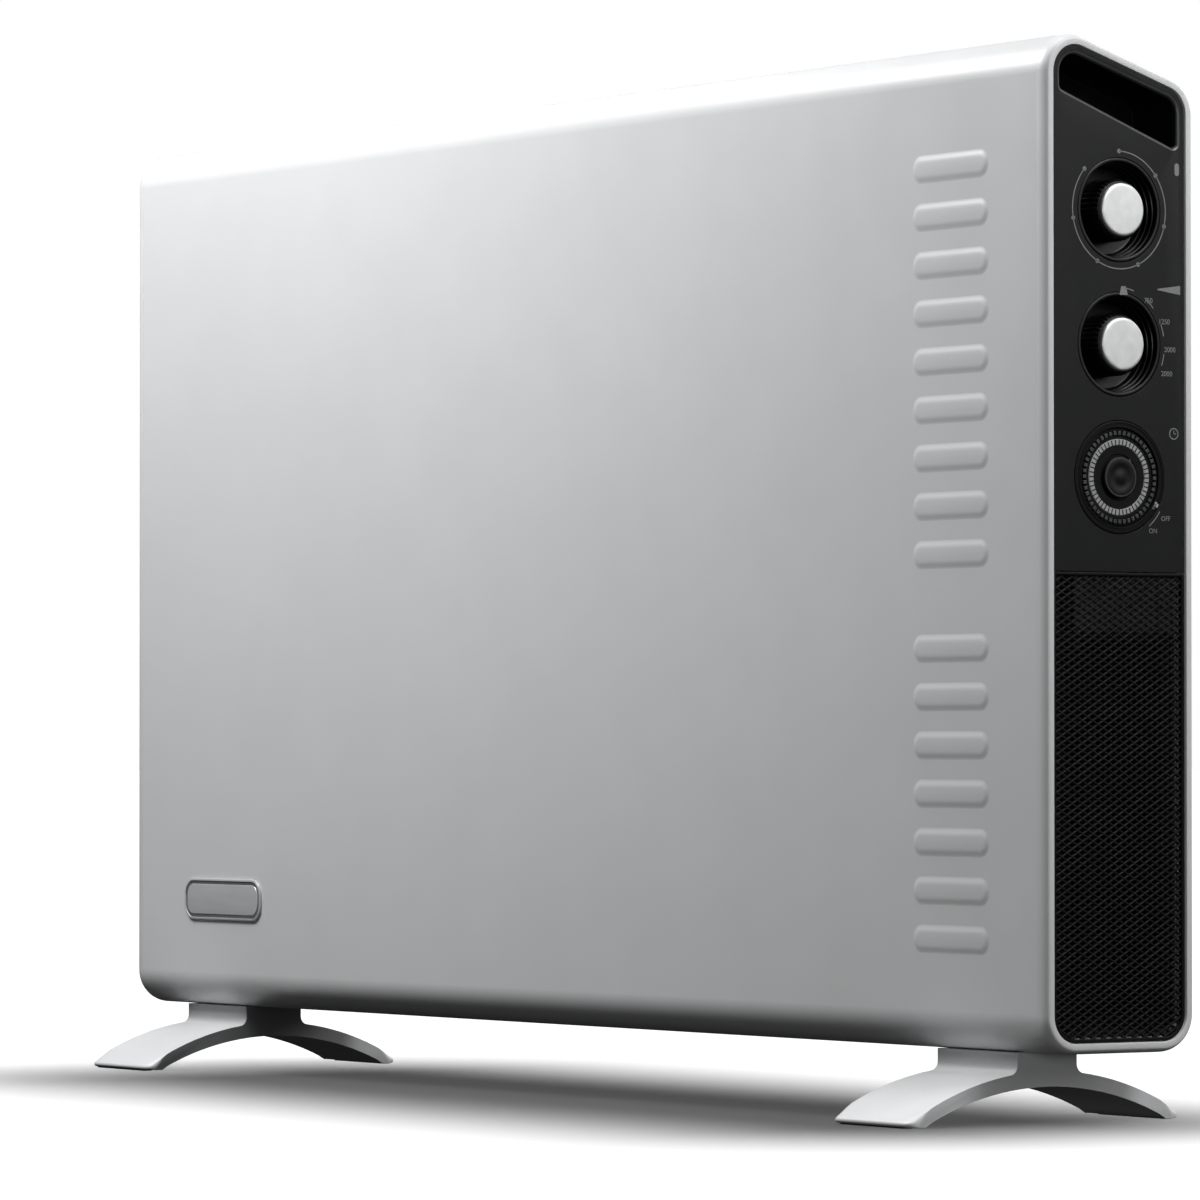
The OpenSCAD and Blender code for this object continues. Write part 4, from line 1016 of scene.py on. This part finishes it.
class HEATER_OT_timer(Operator):
    """Builds the timer with its dial, light band, tappets and hub"""

    bl_idname = "heater.timer"
    bl_label = "Timer"

    def execute(self, context):
        k, p = settings().control, Planes()
        self.centre = (p.mid, p.timer)
        self.face, self.floor, self.front = (p.panel + step for step in mm(-0.5, -4.7, 0.2))
        self.surround(k, p)
        self.dial(k)
        self.tappets(k)
        self.hub(k)
        softened(
            "timer_mode_slider", "mode_lever_tip", "band", 0.2 * MM, "mode_lever"
        )
        return {"FINISHED"}

    def surround(self, k, p):
        """Fixed case with a shallow groove round its rim."""
        outer, dial, front, back = k.timer_outer / 2, k.dial / 2, self.front, p.dish - 10.5 * MM
        slot_in, slot_out = dial + 0.9 * MM, outer - 0.9 * MM
        profile = [
            (0, back), (outer, back), (outer, front - 0.5 * MM),
            (outer - 0.15 * MM, front - 0.15 * MM), (outer - 0.5 * MM, front), (slot_out, front),
            (slot_out - 0.1 * MM, front - 0.25 * MM), (slot_in + 0.1 * MM, front - 0.25 * MM),
            (slot_in, front), (dial + 0.45 * MM, front), (dial + 0.25 * MM, front - 0.2 * MM),
            (dial + 0.2 * MM, self.floor), (0, self.floor),
        ]
        turned_piece(
            "timer_surround", "mesh_black", self.centre, profile, ["timer_housing"]
        )

    def dial(self, k):
        """Turning dial with the tappets' groove, its light band and a tick for each tappet."""
        dial, hub, band, face = k.dial / 2, k.hub / 2, k.band / 2, self.face
        groove_in, groove_out, groove = dial - 3 * MM, dial - 0.8 * MM, face - 3 * MM
        bore, back, sunk = 3.05 * MM, self.floor + 0.3 * MM, face - 0.4 * MM
        profile = [
            (bore, back), (dial, back), (dial, face - 0.25 * MM), (dial - 0.25 * MM, face),
            (groove_out, face), (groove_out, groove), (groove_in, groove), (groove_in, face),
            (hub + 1.2 * MM, face), (hub + 0.8 * MM, sunk), (bore, sunk), (bore, back),
        ]
        turned_piece(
            "dial_disc", "mesh_black", self.centre, profile, ["timer_dial"], "dial"
        )
        inner, low, high = band - k.band_width, face + 0.02 * MM, face + 0.3 * MM
        profile = [(inner, low), (inner + 0.3 * MM, high), (band - 0.3 * MM, high), (band, low)]
        turned_piece(
            "dial_band", "band", self.centre, profile + profile[:1],
            body="dial",
        )
        bm = bmesh.new()
        for i in range(k.tappets):
            # Every fourth tick is long
            reach = 2.2 * MM if i % 4 else 2.9 * MM
            radius = band - 0.2 * MM - reach / 2
            size = (0.06 * MM, reach, 0.5 * MM)
            self.block(bm, face + 0.33 * MM, radius, size, i * math.tau / k.tappets)
        make_piece("dial_ticks", bm, "black", body="dial")

    def tappets(self, k):
        """Tappets that stand in the dial's groove on one ring."""
        face, depth = self.face, 3 * MM
        root, tip = k.dial / 2 - 2.9 * MM, k.dial / 2 - 0.9 * MM
        width = math.tau * (root + tip) / 2 / k.tappets * 0.66
        x = (face - depth + self.front + 0.4 * MM) / 2 - 0.2 * MM
        size = (self.front + 0.2 * MM - (face - depth), tip - root - 0.3 * MM, width)
        bm = bmesh.new()
        for i in range(k.tappets):
            self.block(bm, x, (root + tip) / 2, size, i * math.tau / k.tappets)
        low, high = face - 2.9 * MM, face - 2.1 * MM
        profile = [(root, low), (tip, low), (tip, high), (root, high)]
        lathe(bm, self.centre, profile + profile[:1], 96)
        make_piece(
            "tappet_blocks", bm, "dial_grey", ["timer_tappets"], "tappet_ring",
            bevel=(0.18 * MM, 2),
        )

    def hub(self, k):
        """Fixed hub with a raised ring and a dot on it."""
        hub, foot, top = k.hub / 2, self.face + 0.2 * MM, self.face + 1.5 * MM
        profile = [
            (0, foot), (hub, foot), (hub, top - 0.6 * MM), (hub - 0.15 * MM, top - 0.2 * MM),
            (hub - 0.5 * MM, top), (hub * 0.62, top), (hub * 0.58, top - 0.2 * MM),
            (hub * 0.3, top - 0.3 * MM), (hub * 0.26, top - 0.1 * MM), (0, top - 0.1 * MM),
        ]
        turned_piece(
            "hub_button", "black", self.centre, profile, ["timer_hub"], steps=96
        )
        low, high = top - 0.1 * MM, top + 0.02 * MM
        profile = [
            (hub - 0.45 * MM, low), (hub - 0.5 * MM, high), (hub - 0.95 * MM, high),
            (hub - 1.0 * MM, low),
        ]
        bm = bmesh.new()
        lathe(bm, self.centre, profile + profile[:1], 96)
        outward(bm)
        dot(bm, on_circle(self.centre, 8.2 * MM, math.radians(57)), top, 0.7 * MM)
        make_piece("hub_circle", bm, "dial_grey", sharp=40)

    def block(self, bm, x, radius, size, turn):
        """Small block on a spoke of the dial, its size as thickness, reach and width."""
        spin = Matrix.Rotation(turn, 4, "X") @ Matrix.Translation((0, radius, 0))
        place = Matrix.Translation((x, *self.centre)) @ spin @ Matrix.Diagonal((*size, 1))
        bmesh.ops.create_cube(bm, size=1, matrix=place)


class HEATER_OT_markings(Operator):
    """Builds the printed marks on the control panel"""

    bl_idname = "heater.markings"
    bl_label = "Markings"

    # Height of the ink, width of the ring and the clock's lines, and width of the other lines
    INK, RING, LINE = mm(0.05, 0.45, 0.4)
    # Plain shapes in mm: middle in depth and height, corners round it, and their radius
    SHAPES = (
        ((15.3, 344.2), ((-2.2, -1.7), (2.2, -1.7), (1.2, 1.9), (-1.2, 1.9)), 0.2),
        ((39.3, 345.4), ((-6.2, -0.25), (5.8, -1.9), (5.8, 1.9), (-6.2, 0.25)), 0.2),
        ((43.4, 395.5), ((-1.15, -2.6), (1.15, -2.6), (1.15, 2.6), (-1.15, 2.6)), 1.1),
    )
    CLOCK = mm(41.6, 285.8)
    # Power steps and switch positions in mm: depth and height of the middle, and letter height
    FIGURES = (
        ("750", 28.3, 340.5, 3.0), ("1250", 36.6, 332.0, 3.0), ("2000", 39.6, 320.5, 3.0),
        ("2000", 37.9, 310.5, 3.0), ("OFF", 37.3, 250.5, 2.8), ("ON", 30.6, 245.3, 2.8),
    )

    def execute(self, context):
        k, p = settings().control, Planes()
        self.x = p.panel + 0.03 * MM
        bm = bmesh.new()
        # The thermostat's scale is a ring of 312 degrees with a dot every 52
        here = (p.mid, p.thermostat)
        self.sweep(bm, here, k.scale / 2, self.RING, 90, -312)
        for i in range(7):
            spot = on_circle(here, k.scale / 2, math.radians(90 - 52 * i))
            dot(bm, spot, self.x, 0.95 * MM)
        for start in (83, 53, 22, -8):
            self.sweep(bm, (p.mid, p.selector), 23.6 * MM, self.LINE, start, -12)
        for (y, z), corners, radius in self.SHAPES:
            self.outline(bm, [mm(y + u, z + v) for u, v in corners], radius * MM)
        self.clock(bm)
        self.sweep(bm, (p.mid, p.timer), 25.2 * MM, self.LINE, -33, -19)
        outward(bm)
        make_piece("panel_print", bm, "print_grey", sharp=60)
        for number, (text, y, z, high) in enumerate(self.FIGURES):
            self.letters("panel_figures_%d" % number, text, mm(y, z), high * MM)
        return {"FINISHED"}

    def clock(self, bm):
        """Clock sign: a circle in two halves, and two hands."""
        for start in (90, 270):
            self.sweep(bm, self.CLOCK, 2.2 * MM, self.RING, start, 180)
        y, z = self.CLOCK
        self.bar(bm, (y + 0.5 * MM, z), 1.4 * MM, self.RING)
        self.bar(bm, (y, z + 0.6 * MM), self.RING, 1.6 * MM)

    def thicken(self, bm, faces):
        """Gives fresh flat faces on the panel the height of the ink."""
        moved = bmesh.ops.extrude_face_region(bm, geom=faces)
        verts = [g for g in moved["geom"] if isinstance(g, bmesh.types.BMVert)]
        bmesh.ops.translate(bm, verts=verts, vec=(self.INK, 0, 0))

    def outline(self, bm, corners, radius):
        """Printed shape with rounded corners."""
        ring = rounded(bm, side_place(self.x), corners, radius, 4)
        self.thicken(bm, [bm.faces.new(ring)])

    def bar(self, bm, centre, wide, high):
        """Printed straight line."""
        self.outline(bm, upright(*centre, wide, high), min(wide, high) * 0.4)

    def sweep(self, bm, centre, radius, width, start, turn):
        """Printed arc, angles in degrees."""
        place = side_place(self.x)
        steps = max(8, int(abs(turn) / 4))
        start, turn = math.radians(start), math.radians(turn)
        inner = arc(bm, place, centre, radius - width / 2, start, turn, steps)
        outer = arc(bm, place, centre, radius + width / 2, start, turn, steps)
        edges = [bm.edges.get(pair) for row in (inner, outer) for pair in zip(row, row[1:])]
        made = bmesh.ops.bridge_loops(bm, edges=edges)
        self.thicken(bm, made["faces"])

    def letters(self, name, text, centre, high):
        """Printed figures, made a mesh before they are laid on the panel."""
        curve = bpy.data.curves.new(name, "FONT")
        curve.body = text
        curve.size = high
        curve.align_x = "CENTER"
        curve.align_y = "CENTER"
        curve.extrude = self.INK / 2
        holder = bpy.data.objects.new(name + "_text", curve)
        bpy.context.scene.collection.objects.link(holder)
        evaluated = holder.evaluated_get(bpy.context.evaluated_depsgraph_get())
        mesh = bpy.data.meshes.new_from_object(evaluated)
        bpy.data.objects.remove(holder)
        bm = bmesh.new()
        bm.from_mesh(mesh)
        turn = Matrix(((0, 0, 1, 0), (1, 0, 0, 0), (0, 1, 0, 0), (0, 0, 0, 1)))
        place = Matrix.Translation((self.x, *centre)) @ turn
        bmesh.ops.transform(bm, verts=bm.verts, matrix=place)
        make_piece(name, bm, "print_grey", sharp=30)


class HEATER_OT_plate(Operator):
    """Builds the blank plate on the front"""

    bl_idname = "heater.plate"
    bl_label = "Blank plate"

    # Inset, and height below the plate's face, in mm: the face with a groove, and the line in it
    FACE = (
        (0, 0.5), (0.12, 0.15), (0.45, 0.02), (1.0, 0), (1.15, 0.36), (2.7, 0.4), (2.9, 0.1),
        (3.3, 0.05),
    )
    LINE = ((1.14, 0.5), (1.18, 0.34), (2.66, 0.34), (2.7, 0.5))

    def execute(self, context):
        t = settings().front.plate
        levels = [(inset * MM, t - down * MM) for inset, down in self.FACE]
        self.shape("plate_body", "plate_face", ["badge_plate"], [(0, 0)] + levels)
        levels = [(inset * MM, t - down * MM) for inset, down in self.LINE]
        self.shape("plate_line", "plate_line", (), levels)
        return {"FINISHED"}

    @staticmethod
    def shape(name, look, nodes, levels):
        """Rounded rectangle through levels of inset and height; without nodes it is a ring."""
        f, p = settings().front, Planes()
        x, z = -p.end + f.plate_inset, p.base + f.plate_up
        bm = bmesh.new()
        rings = []
        for inset, rise in levels:
            corners = upright(x, z, f.plate_width - 2 * inset, f.plate_height - 2 * inset)
            radius = max(f.plate_corner - inset, 0.6 * MM)
            rings.append(rounded(bm, front_place(p.front - rise), corners, radius, 8))
        loft(bm, rings, closed=not nodes)
        if nodes:
            bm.faces.new(rings[0])
            bm.faces.new(rings[-1])
        outward(bm)
        make_piece(name, bm, look, nodes, sharp=40)


class HEATER_OT_feet(Operator):
    """Builds the two arched feet"""

    bl_idname = "heater.feet"
    bl_label = "Feet"

    # Distances of the sections from each side, and length of the tip that is rounded in plan
    DEPTHS = mm(0, 0.3, 1.0, 2.2, 3.6, 5.2)
    TIP = 9 * MM

    def execute(self, context):
        s, p = settings().foot, Planes()
        half = s.width / 2
        stations = [d - half for d in self.DEPTHS] + [half - d for d in reversed(self.DEPTHS)]
        for side, name in ((1, "right"), (-1, "left")):
            bm = bmesh.new()
            middle = side * (p.end - s.inset - half)
            rings = []
            for station in stations:
                ring = self.section(bm, side_place(middle + station), s, p)
                self.shape(ring, half - abs(station), s)
                rings.append(ring)
            loft(bm, rings)
            bm.faces.new(rings[0])
            bm.faces.new(rings[-1])
            bmesh.ops.delete(bm, geom=[v for v in bm.verts if not v.link_faces], context="VERTS")
            outward(bm)
            make_piece(
                name + "_arched_foot", bm, "silver_plastic", [name + "_foot"],
                sharp=40, bevel=(0.9 * MM, 3),
            )
        return {"FINISHED"}

    def shape(self, ring, edge, s):
        """Rounds the tips in plan near the sides of the foot."""
        r = s.tip_round
        short = r - math.sqrt(max(r * r - max(r - edge, 0) ** 2, 0))
        start = s.reach / 2 - self.TIP
        for vert in ring:
            over = abs(vert.co.y) - start
            if over > 0:
                vert.co.y -= math.copysign(over / self.TIP * short, vert.co.y)

    @staticmethod
    def section(bm, place, s, p):
        """Ring round the side view of a foot, made of arcs that meet smoothly."""
        reach, neck, sole = s.reach / 2, s.neck / 2, s.sole
        leg_z = s.leg - s.leg_radius
        drop = sole - leg_z
        # The nose stands on the sole, touches the tip's reach and meets the leg's upper curve
        b = 2 * (drop - reach + s.leg_radius)
        nose = (-b + math.sqrt(b * b - 4 * (reach ** 2 + drop ** 2 - s.leg_radius ** 2))) / 2
        nose_y, nose_z = reach - nose, sole + nose
        upper = math.atan2(nose_z - leg_z, nose_y)
        fillet_y = neck + s.fillet
        fillet_z = leg_z + math.sqrt((s.leg_radius + s.fillet) ** 2 - fillet_y ** 2)
        lower = math.atan2(fillet_z - leg_z, fillet_y)
        arch_z = s.arch - s.arch_radius
        open_angle = math.asin((sole - arch_z) / s.arch_radius)
        pi = math.pi
        rows = [
            arc(bm, place, (nose_y, nose_z), nose, -pi / 2, upper + pi / 2, 6),
            arc(bm, place, (0, leg_z), s.leg_radius, upper, lower - upper, 14),
            arc(bm, place, (fillet_y, fillet_z), s.fillet, lower + pi, -lower, 8),
            [bm.verts.new(place(neck, p.base))],
            [bm.verts.new(place(-neck, p.base))],
            arc(bm, place, (-fillet_y, fillet_z), s.fillet, 0, -lower, 8),
            arc(bm, place, (0, leg_z), s.leg_radius, pi - lower, lower - upper, 14),
            arc(bm, place, (-nose_y, nose_z), nose, pi - upper, upper + pi / 2, 6),
            arc(bm, place, (0, arch_z), s.arch_radius, pi - open_angle, 2 * open_angle - pi, 28),
        ]
        ring = []
        for row in rows:
            if ring and (ring[-1].co - row[0].co).length < MERGE:
                row = row[1:]
            if ring:
                bm.edges.new((ring[-1], row[0]))
            ring += row
        bm.edges.new((ring[-1], ring[0]))
        return ring


class HEATER_OT_inner_parts(Operator):
    """Gives the CAD pieces that stay their finishes"""

    bl_idname = "heater.inner_parts"
    bl_label = "Carried-over pieces"

    NODES = {
        "silver_paint": ["rear_cover"],
        "outlet": ["top_grille"],
        "steel": ["base_rail", "right_element_bracket", "left_element_bracket", "front_air_baffle",
                  "rear_heat_shield"],
        # The near-black parts behind the grilles paint the shade inside the casing
        "dark_steel": ["control_bracket", "timer_motor", "right_blower_motor", "left_blower_motor"],
        "turned_steel": ["thermostat_shaft", "selector_shaft", "bush_nuts", "foot_screws",
                         "cover_screws"],
        "cream": ["thermostat_body", "selector_body", "terminal_block"],
        "element": ["lower_element", "upper_element"],
        "ceramic": ["element_bushes"],
        "brass": ["thermal_cutout"],
        "rubber": ["foot_pads", "wiring_loom"],
        "black": ["cord_gland", "right_blower_housing", "left_blower_housing", "right_blower_rotor",
                  "left_blower_rotor"],
    }

    def execute(self, context):
        for look, nodes in self.NODES.items():
            for name in nodes:
                node = frame["nodes"][name]
                if not node.data.materials:
                    node.data.materials.append(finish(look))
                for slot in node.material_slots:
                    slot.material = finish(look)
        return {"FINISHED"}


class HEATER_OT_stage(Operator):
    """Sets the floor, the light and the camera"""

    bl_idname = "heater.stage"
    bl_label = "Stage"

    # Place and radius of each globe, and place, aim, width and height of each softbox, in metres
    KEY = (-0.276, -0.535, 0.955), 0.2
    SIDE = (1.1, 0.3, 1.1), 0.2
    EDGE = (2.3, -1.1, 0.15), 0.3
    END = (1.5, 0.9, 0.8), (0.3675, 0, 0.3), 1.6, 0.8
    REAR = (-0.4, 2.6, 1.6), (0, 0.05, 0.2), 2.0, 1.4
    # Apparent size in degrees of the lights from straight above
    OVERHEAD, DOME, FLOOR = 40, 179, 74
    # Two corners and the height of the card that shades the floor, and the floor's radius
    CARD = (-0.320, -0.193), (0.425, 0.122), 0.16
    FLOOR_RADIUS = 40

    def execute(self, context):
        look = settings().stage
        context.scene.view_settings.view_transform = "Standard"
        bm = bmesh.new()
        bmesh.ops.create_circle(bm, cap_ends=True, segments=64, radius=self.FLOOR_RADIUS)
        floor = self.prop("studio_floor", bm, finish("floor"))
        card = self.card(*self.CARD)
        self.surroundings()
        lamps = [
            self.globe("key_globe", *self.KEY, look.key),
            self.globe("side_globe", *self.SIDE, look.side),
            self.globe("edge_globe", *self.EDGE, look.edge),
            self.softbox("end_softbox", *self.END, look.end),
            self.softbox("rear_softbox", *self.REAR, look.rear),
            self.sky("overhead", look.overhead, self.OVERHEAD),
            self.sky("dome", look.dome, self.DOME),
        ]
        far_foot = bpy.data.objects["left_arched_foot"]
        for lamp in lamps:
            name = lamp.name
            shaded = [floor, far_foot] if name == "edge_globe" else [floor]
            self.link(lamp, (name + "_leaves_out", shaded), (name + "_passes", [card]), "EXCLUDE")
        lamp = self.sky("floor_light", look.floor_light, self.FLOOR)
        self.link(lamp, ("floor_light_reaches", [floor]), ("floor_light_meets", [card]), "INCLUDE")
        self.camera(look)
        return {"FINISHED"}

    @staticmethod
    def prop(name, bm, material):
        """Piece of the stage that lights no other piece."""
        thing = new_object(name, bm)
        thing.data.materials.append(material)
        thing.visible_diffuse = False
        thing.visible_glossy = False
        return thing

    @classmethod
    def card(cls, low, high, height):
        """Unseen card that gives the soft shadow on the floor."""
        bm = bmesh.new()
        bmesh.ops.create_grid(bm, x_segments=1, y_segments=1, size=0.5)
        for vert in bm.verts:
            x, y = (pair[side > 0] for pair, side in zip(zip(low, high), vert.co))
            vert.co = (x, y, height)
        card = cls.prop("shadow_flag", bm, dark_gauze())
        card.visible_camera = False
        return card

    @classmethod
    def link(cls, lamp, receivers, blockers, state):
        """Light linking of a lamp, each side as a collection's name and its things."""
        lamp.light_linking.receiver_collection = cls.group(*receivers, state)
        lamp.light_linking.blocker_collection = cls.group(*blockers, state)

    @staticmethod
    def group(name, things, state):
        """Light-linking collection that holds things."""
        group = bpy.data.collections.new(name)
        for thing in things:
            group.objects.link(thing)
        for member in group.collection_objects:
            member.light_linking.link_state = state
        return group

    @staticmethod
    def camera(look):
        """Camera that looks along -X and +Y, turned by its heading and tilted up."""
        heading, tilt = look.turn, look.tilt
        level = math.cos(tilt)
        ahead = Vector((-level * math.cos(heading), level * math.sin(heading), math.sin(tilt)))
        data = bpy.data.cameras.new("camera")
        data.lens = look.lens
        data.sensor_width = 36
        data.clip_end = 100
        camera = bpy.data.objects.new("camera", data)
        camera.location = look.camera
        camera.rotation_mode = "QUATERNION"
        camera.rotation_quaternion = ahead.to_track_quat("-Z", "Y")
        bpy.context.scene.collection.objects.link(camera)
        bpy.context.scene.camera = camera

    @staticmethod
    def surroundings():
        """White to the camera and almost dark to the object."""
        world = bpy.data.worlds.new("studio")
        bpy.context.scene.world = world
        world.use_nodes = True
        tree = world.node_tree
        tree.nodes.clear()
        white = (1, 1, 1, 1)
        seen = add_node(tree, "ShaderNodeBackground", {"Color": white})
        lit = add_node(tree, "ShaderNodeBackground", {"Color": white, "Strength": 0.015})
        path = add_node(tree, "ShaderNodeLightPath")
        mix = add_node(tree, "ShaderNodeMixShader", {
            "Fac": path.outputs["Is Camera Ray"], 1: lit.outputs["Background"],
            2: seen.outputs["Background"],
        })
        add_node(tree, "ShaderNodeOutputWorld", {"Surface": mix.outputs["Shader"]})

    @classmethod
    def softbox(cls, name, place, aim, wide, high, watts):
        """Rectangular light that faces an aim."""
        data = bpy.data.lights.new(name, "AREA")
        data.shape = "RECTANGLE"
        data.size, data.size_y = wide, high
        data.energy = watts
        lamp = cls.hang(data, place)
        lamp.rotation_mode = "QUATERNION"
        lamp.rotation_quaternion = (Vector(aim) - Vector(place)).to_track_quat("-Z", "Y")
        return lamp

    @classmethod
    def globe(cls, name, place, radius, watts):
        """Round light."""
        data = bpy.data.lights.new(name, "POINT")
        data.shadow_soft_size = radius
        data.energy = watts
        return cls.hang(data, place)

    @classmethod
    def sky(cls, name, strength, degrees):
        """Broad light from straight above."""
        data = bpy.data.lights.new(name, "SUN")
        data.energy = strength
        data.angle = math.radians(degrees)
        return cls.hang(data, (0, 0, 3))

    @staticmethod
    def hang(data, place):
        """Lamp in the scene that the camera doesn't see."""
        lamp = bpy.data.objects.new(data.name, data)
        lamp.location = place
        lamp.visible_camera = False
        bpy.context.scene.collection.objects.link(lamp)
        return lamp


class HEATER_PT_panel(Panel):
    """Lists the heater's pieces in the sidebar"""

    bl_label = "Heater"
    bl_space_type = "VIEW_3D"
    bl_region_type = "UI"
    bl_category = "Heater"

    def draw(self, context):
        for operator in OPERATORS:
            self.layout.operator(operator.bl_idname)


GROUPS = (
    CasingSizes, FrontSizes, ControlSizes, FootSizes, FinishColours, StageLook, HeaterSettings,
)
OPERATORS = (
    HEATER_OT_front_cover, HEATER_OT_end_frames, HEATER_OT_side_panels, HEATER_OT_side_grilles,
    HEATER_OT_knobs, HEATER_OT_timer, HEATER_OT_markings, HEATER_OT_plate, HEATER_OT_feet,
    HEATER_OT_inner_parts, HEATER_OT_stage,
)
CLASSES = (*GROUPS, *OPERATORS, HEATER_PT_panel)


def register():
    """Registers the classes and the heater's settings."""
    for item in CLASSES:
        bpy.utils.register_class(item)
    bpy.types.Scene.heater = PointerProperty(type=HeaterSettings)


def unregister():
    """Takes the settings and the classes away."""
    del bpy.types.Scene.heater
    for item in reversed(CLASSES):
        bpy.utils.unregister_class(item)


def main():
    """Builds the heater and its stage."""
    register()
    bpy.ops.heater.front_cover()
    bpy.ops.heater.end_frames()
    bpy.ops.heater.side_panels()
    bpy.ops.heater.side_grilles()
    bpy.ops.heater.knobs()
    bpy.ops.heater.timer()
    bpy.ops.heater.markings()
    bpy.ops.heater.plate()
    bpy.ops.heater.feet()
    bpy.ops.heater.inner_parts()
    bpy.ops.heater.stage()


if __name__ == "__main__":
    main()
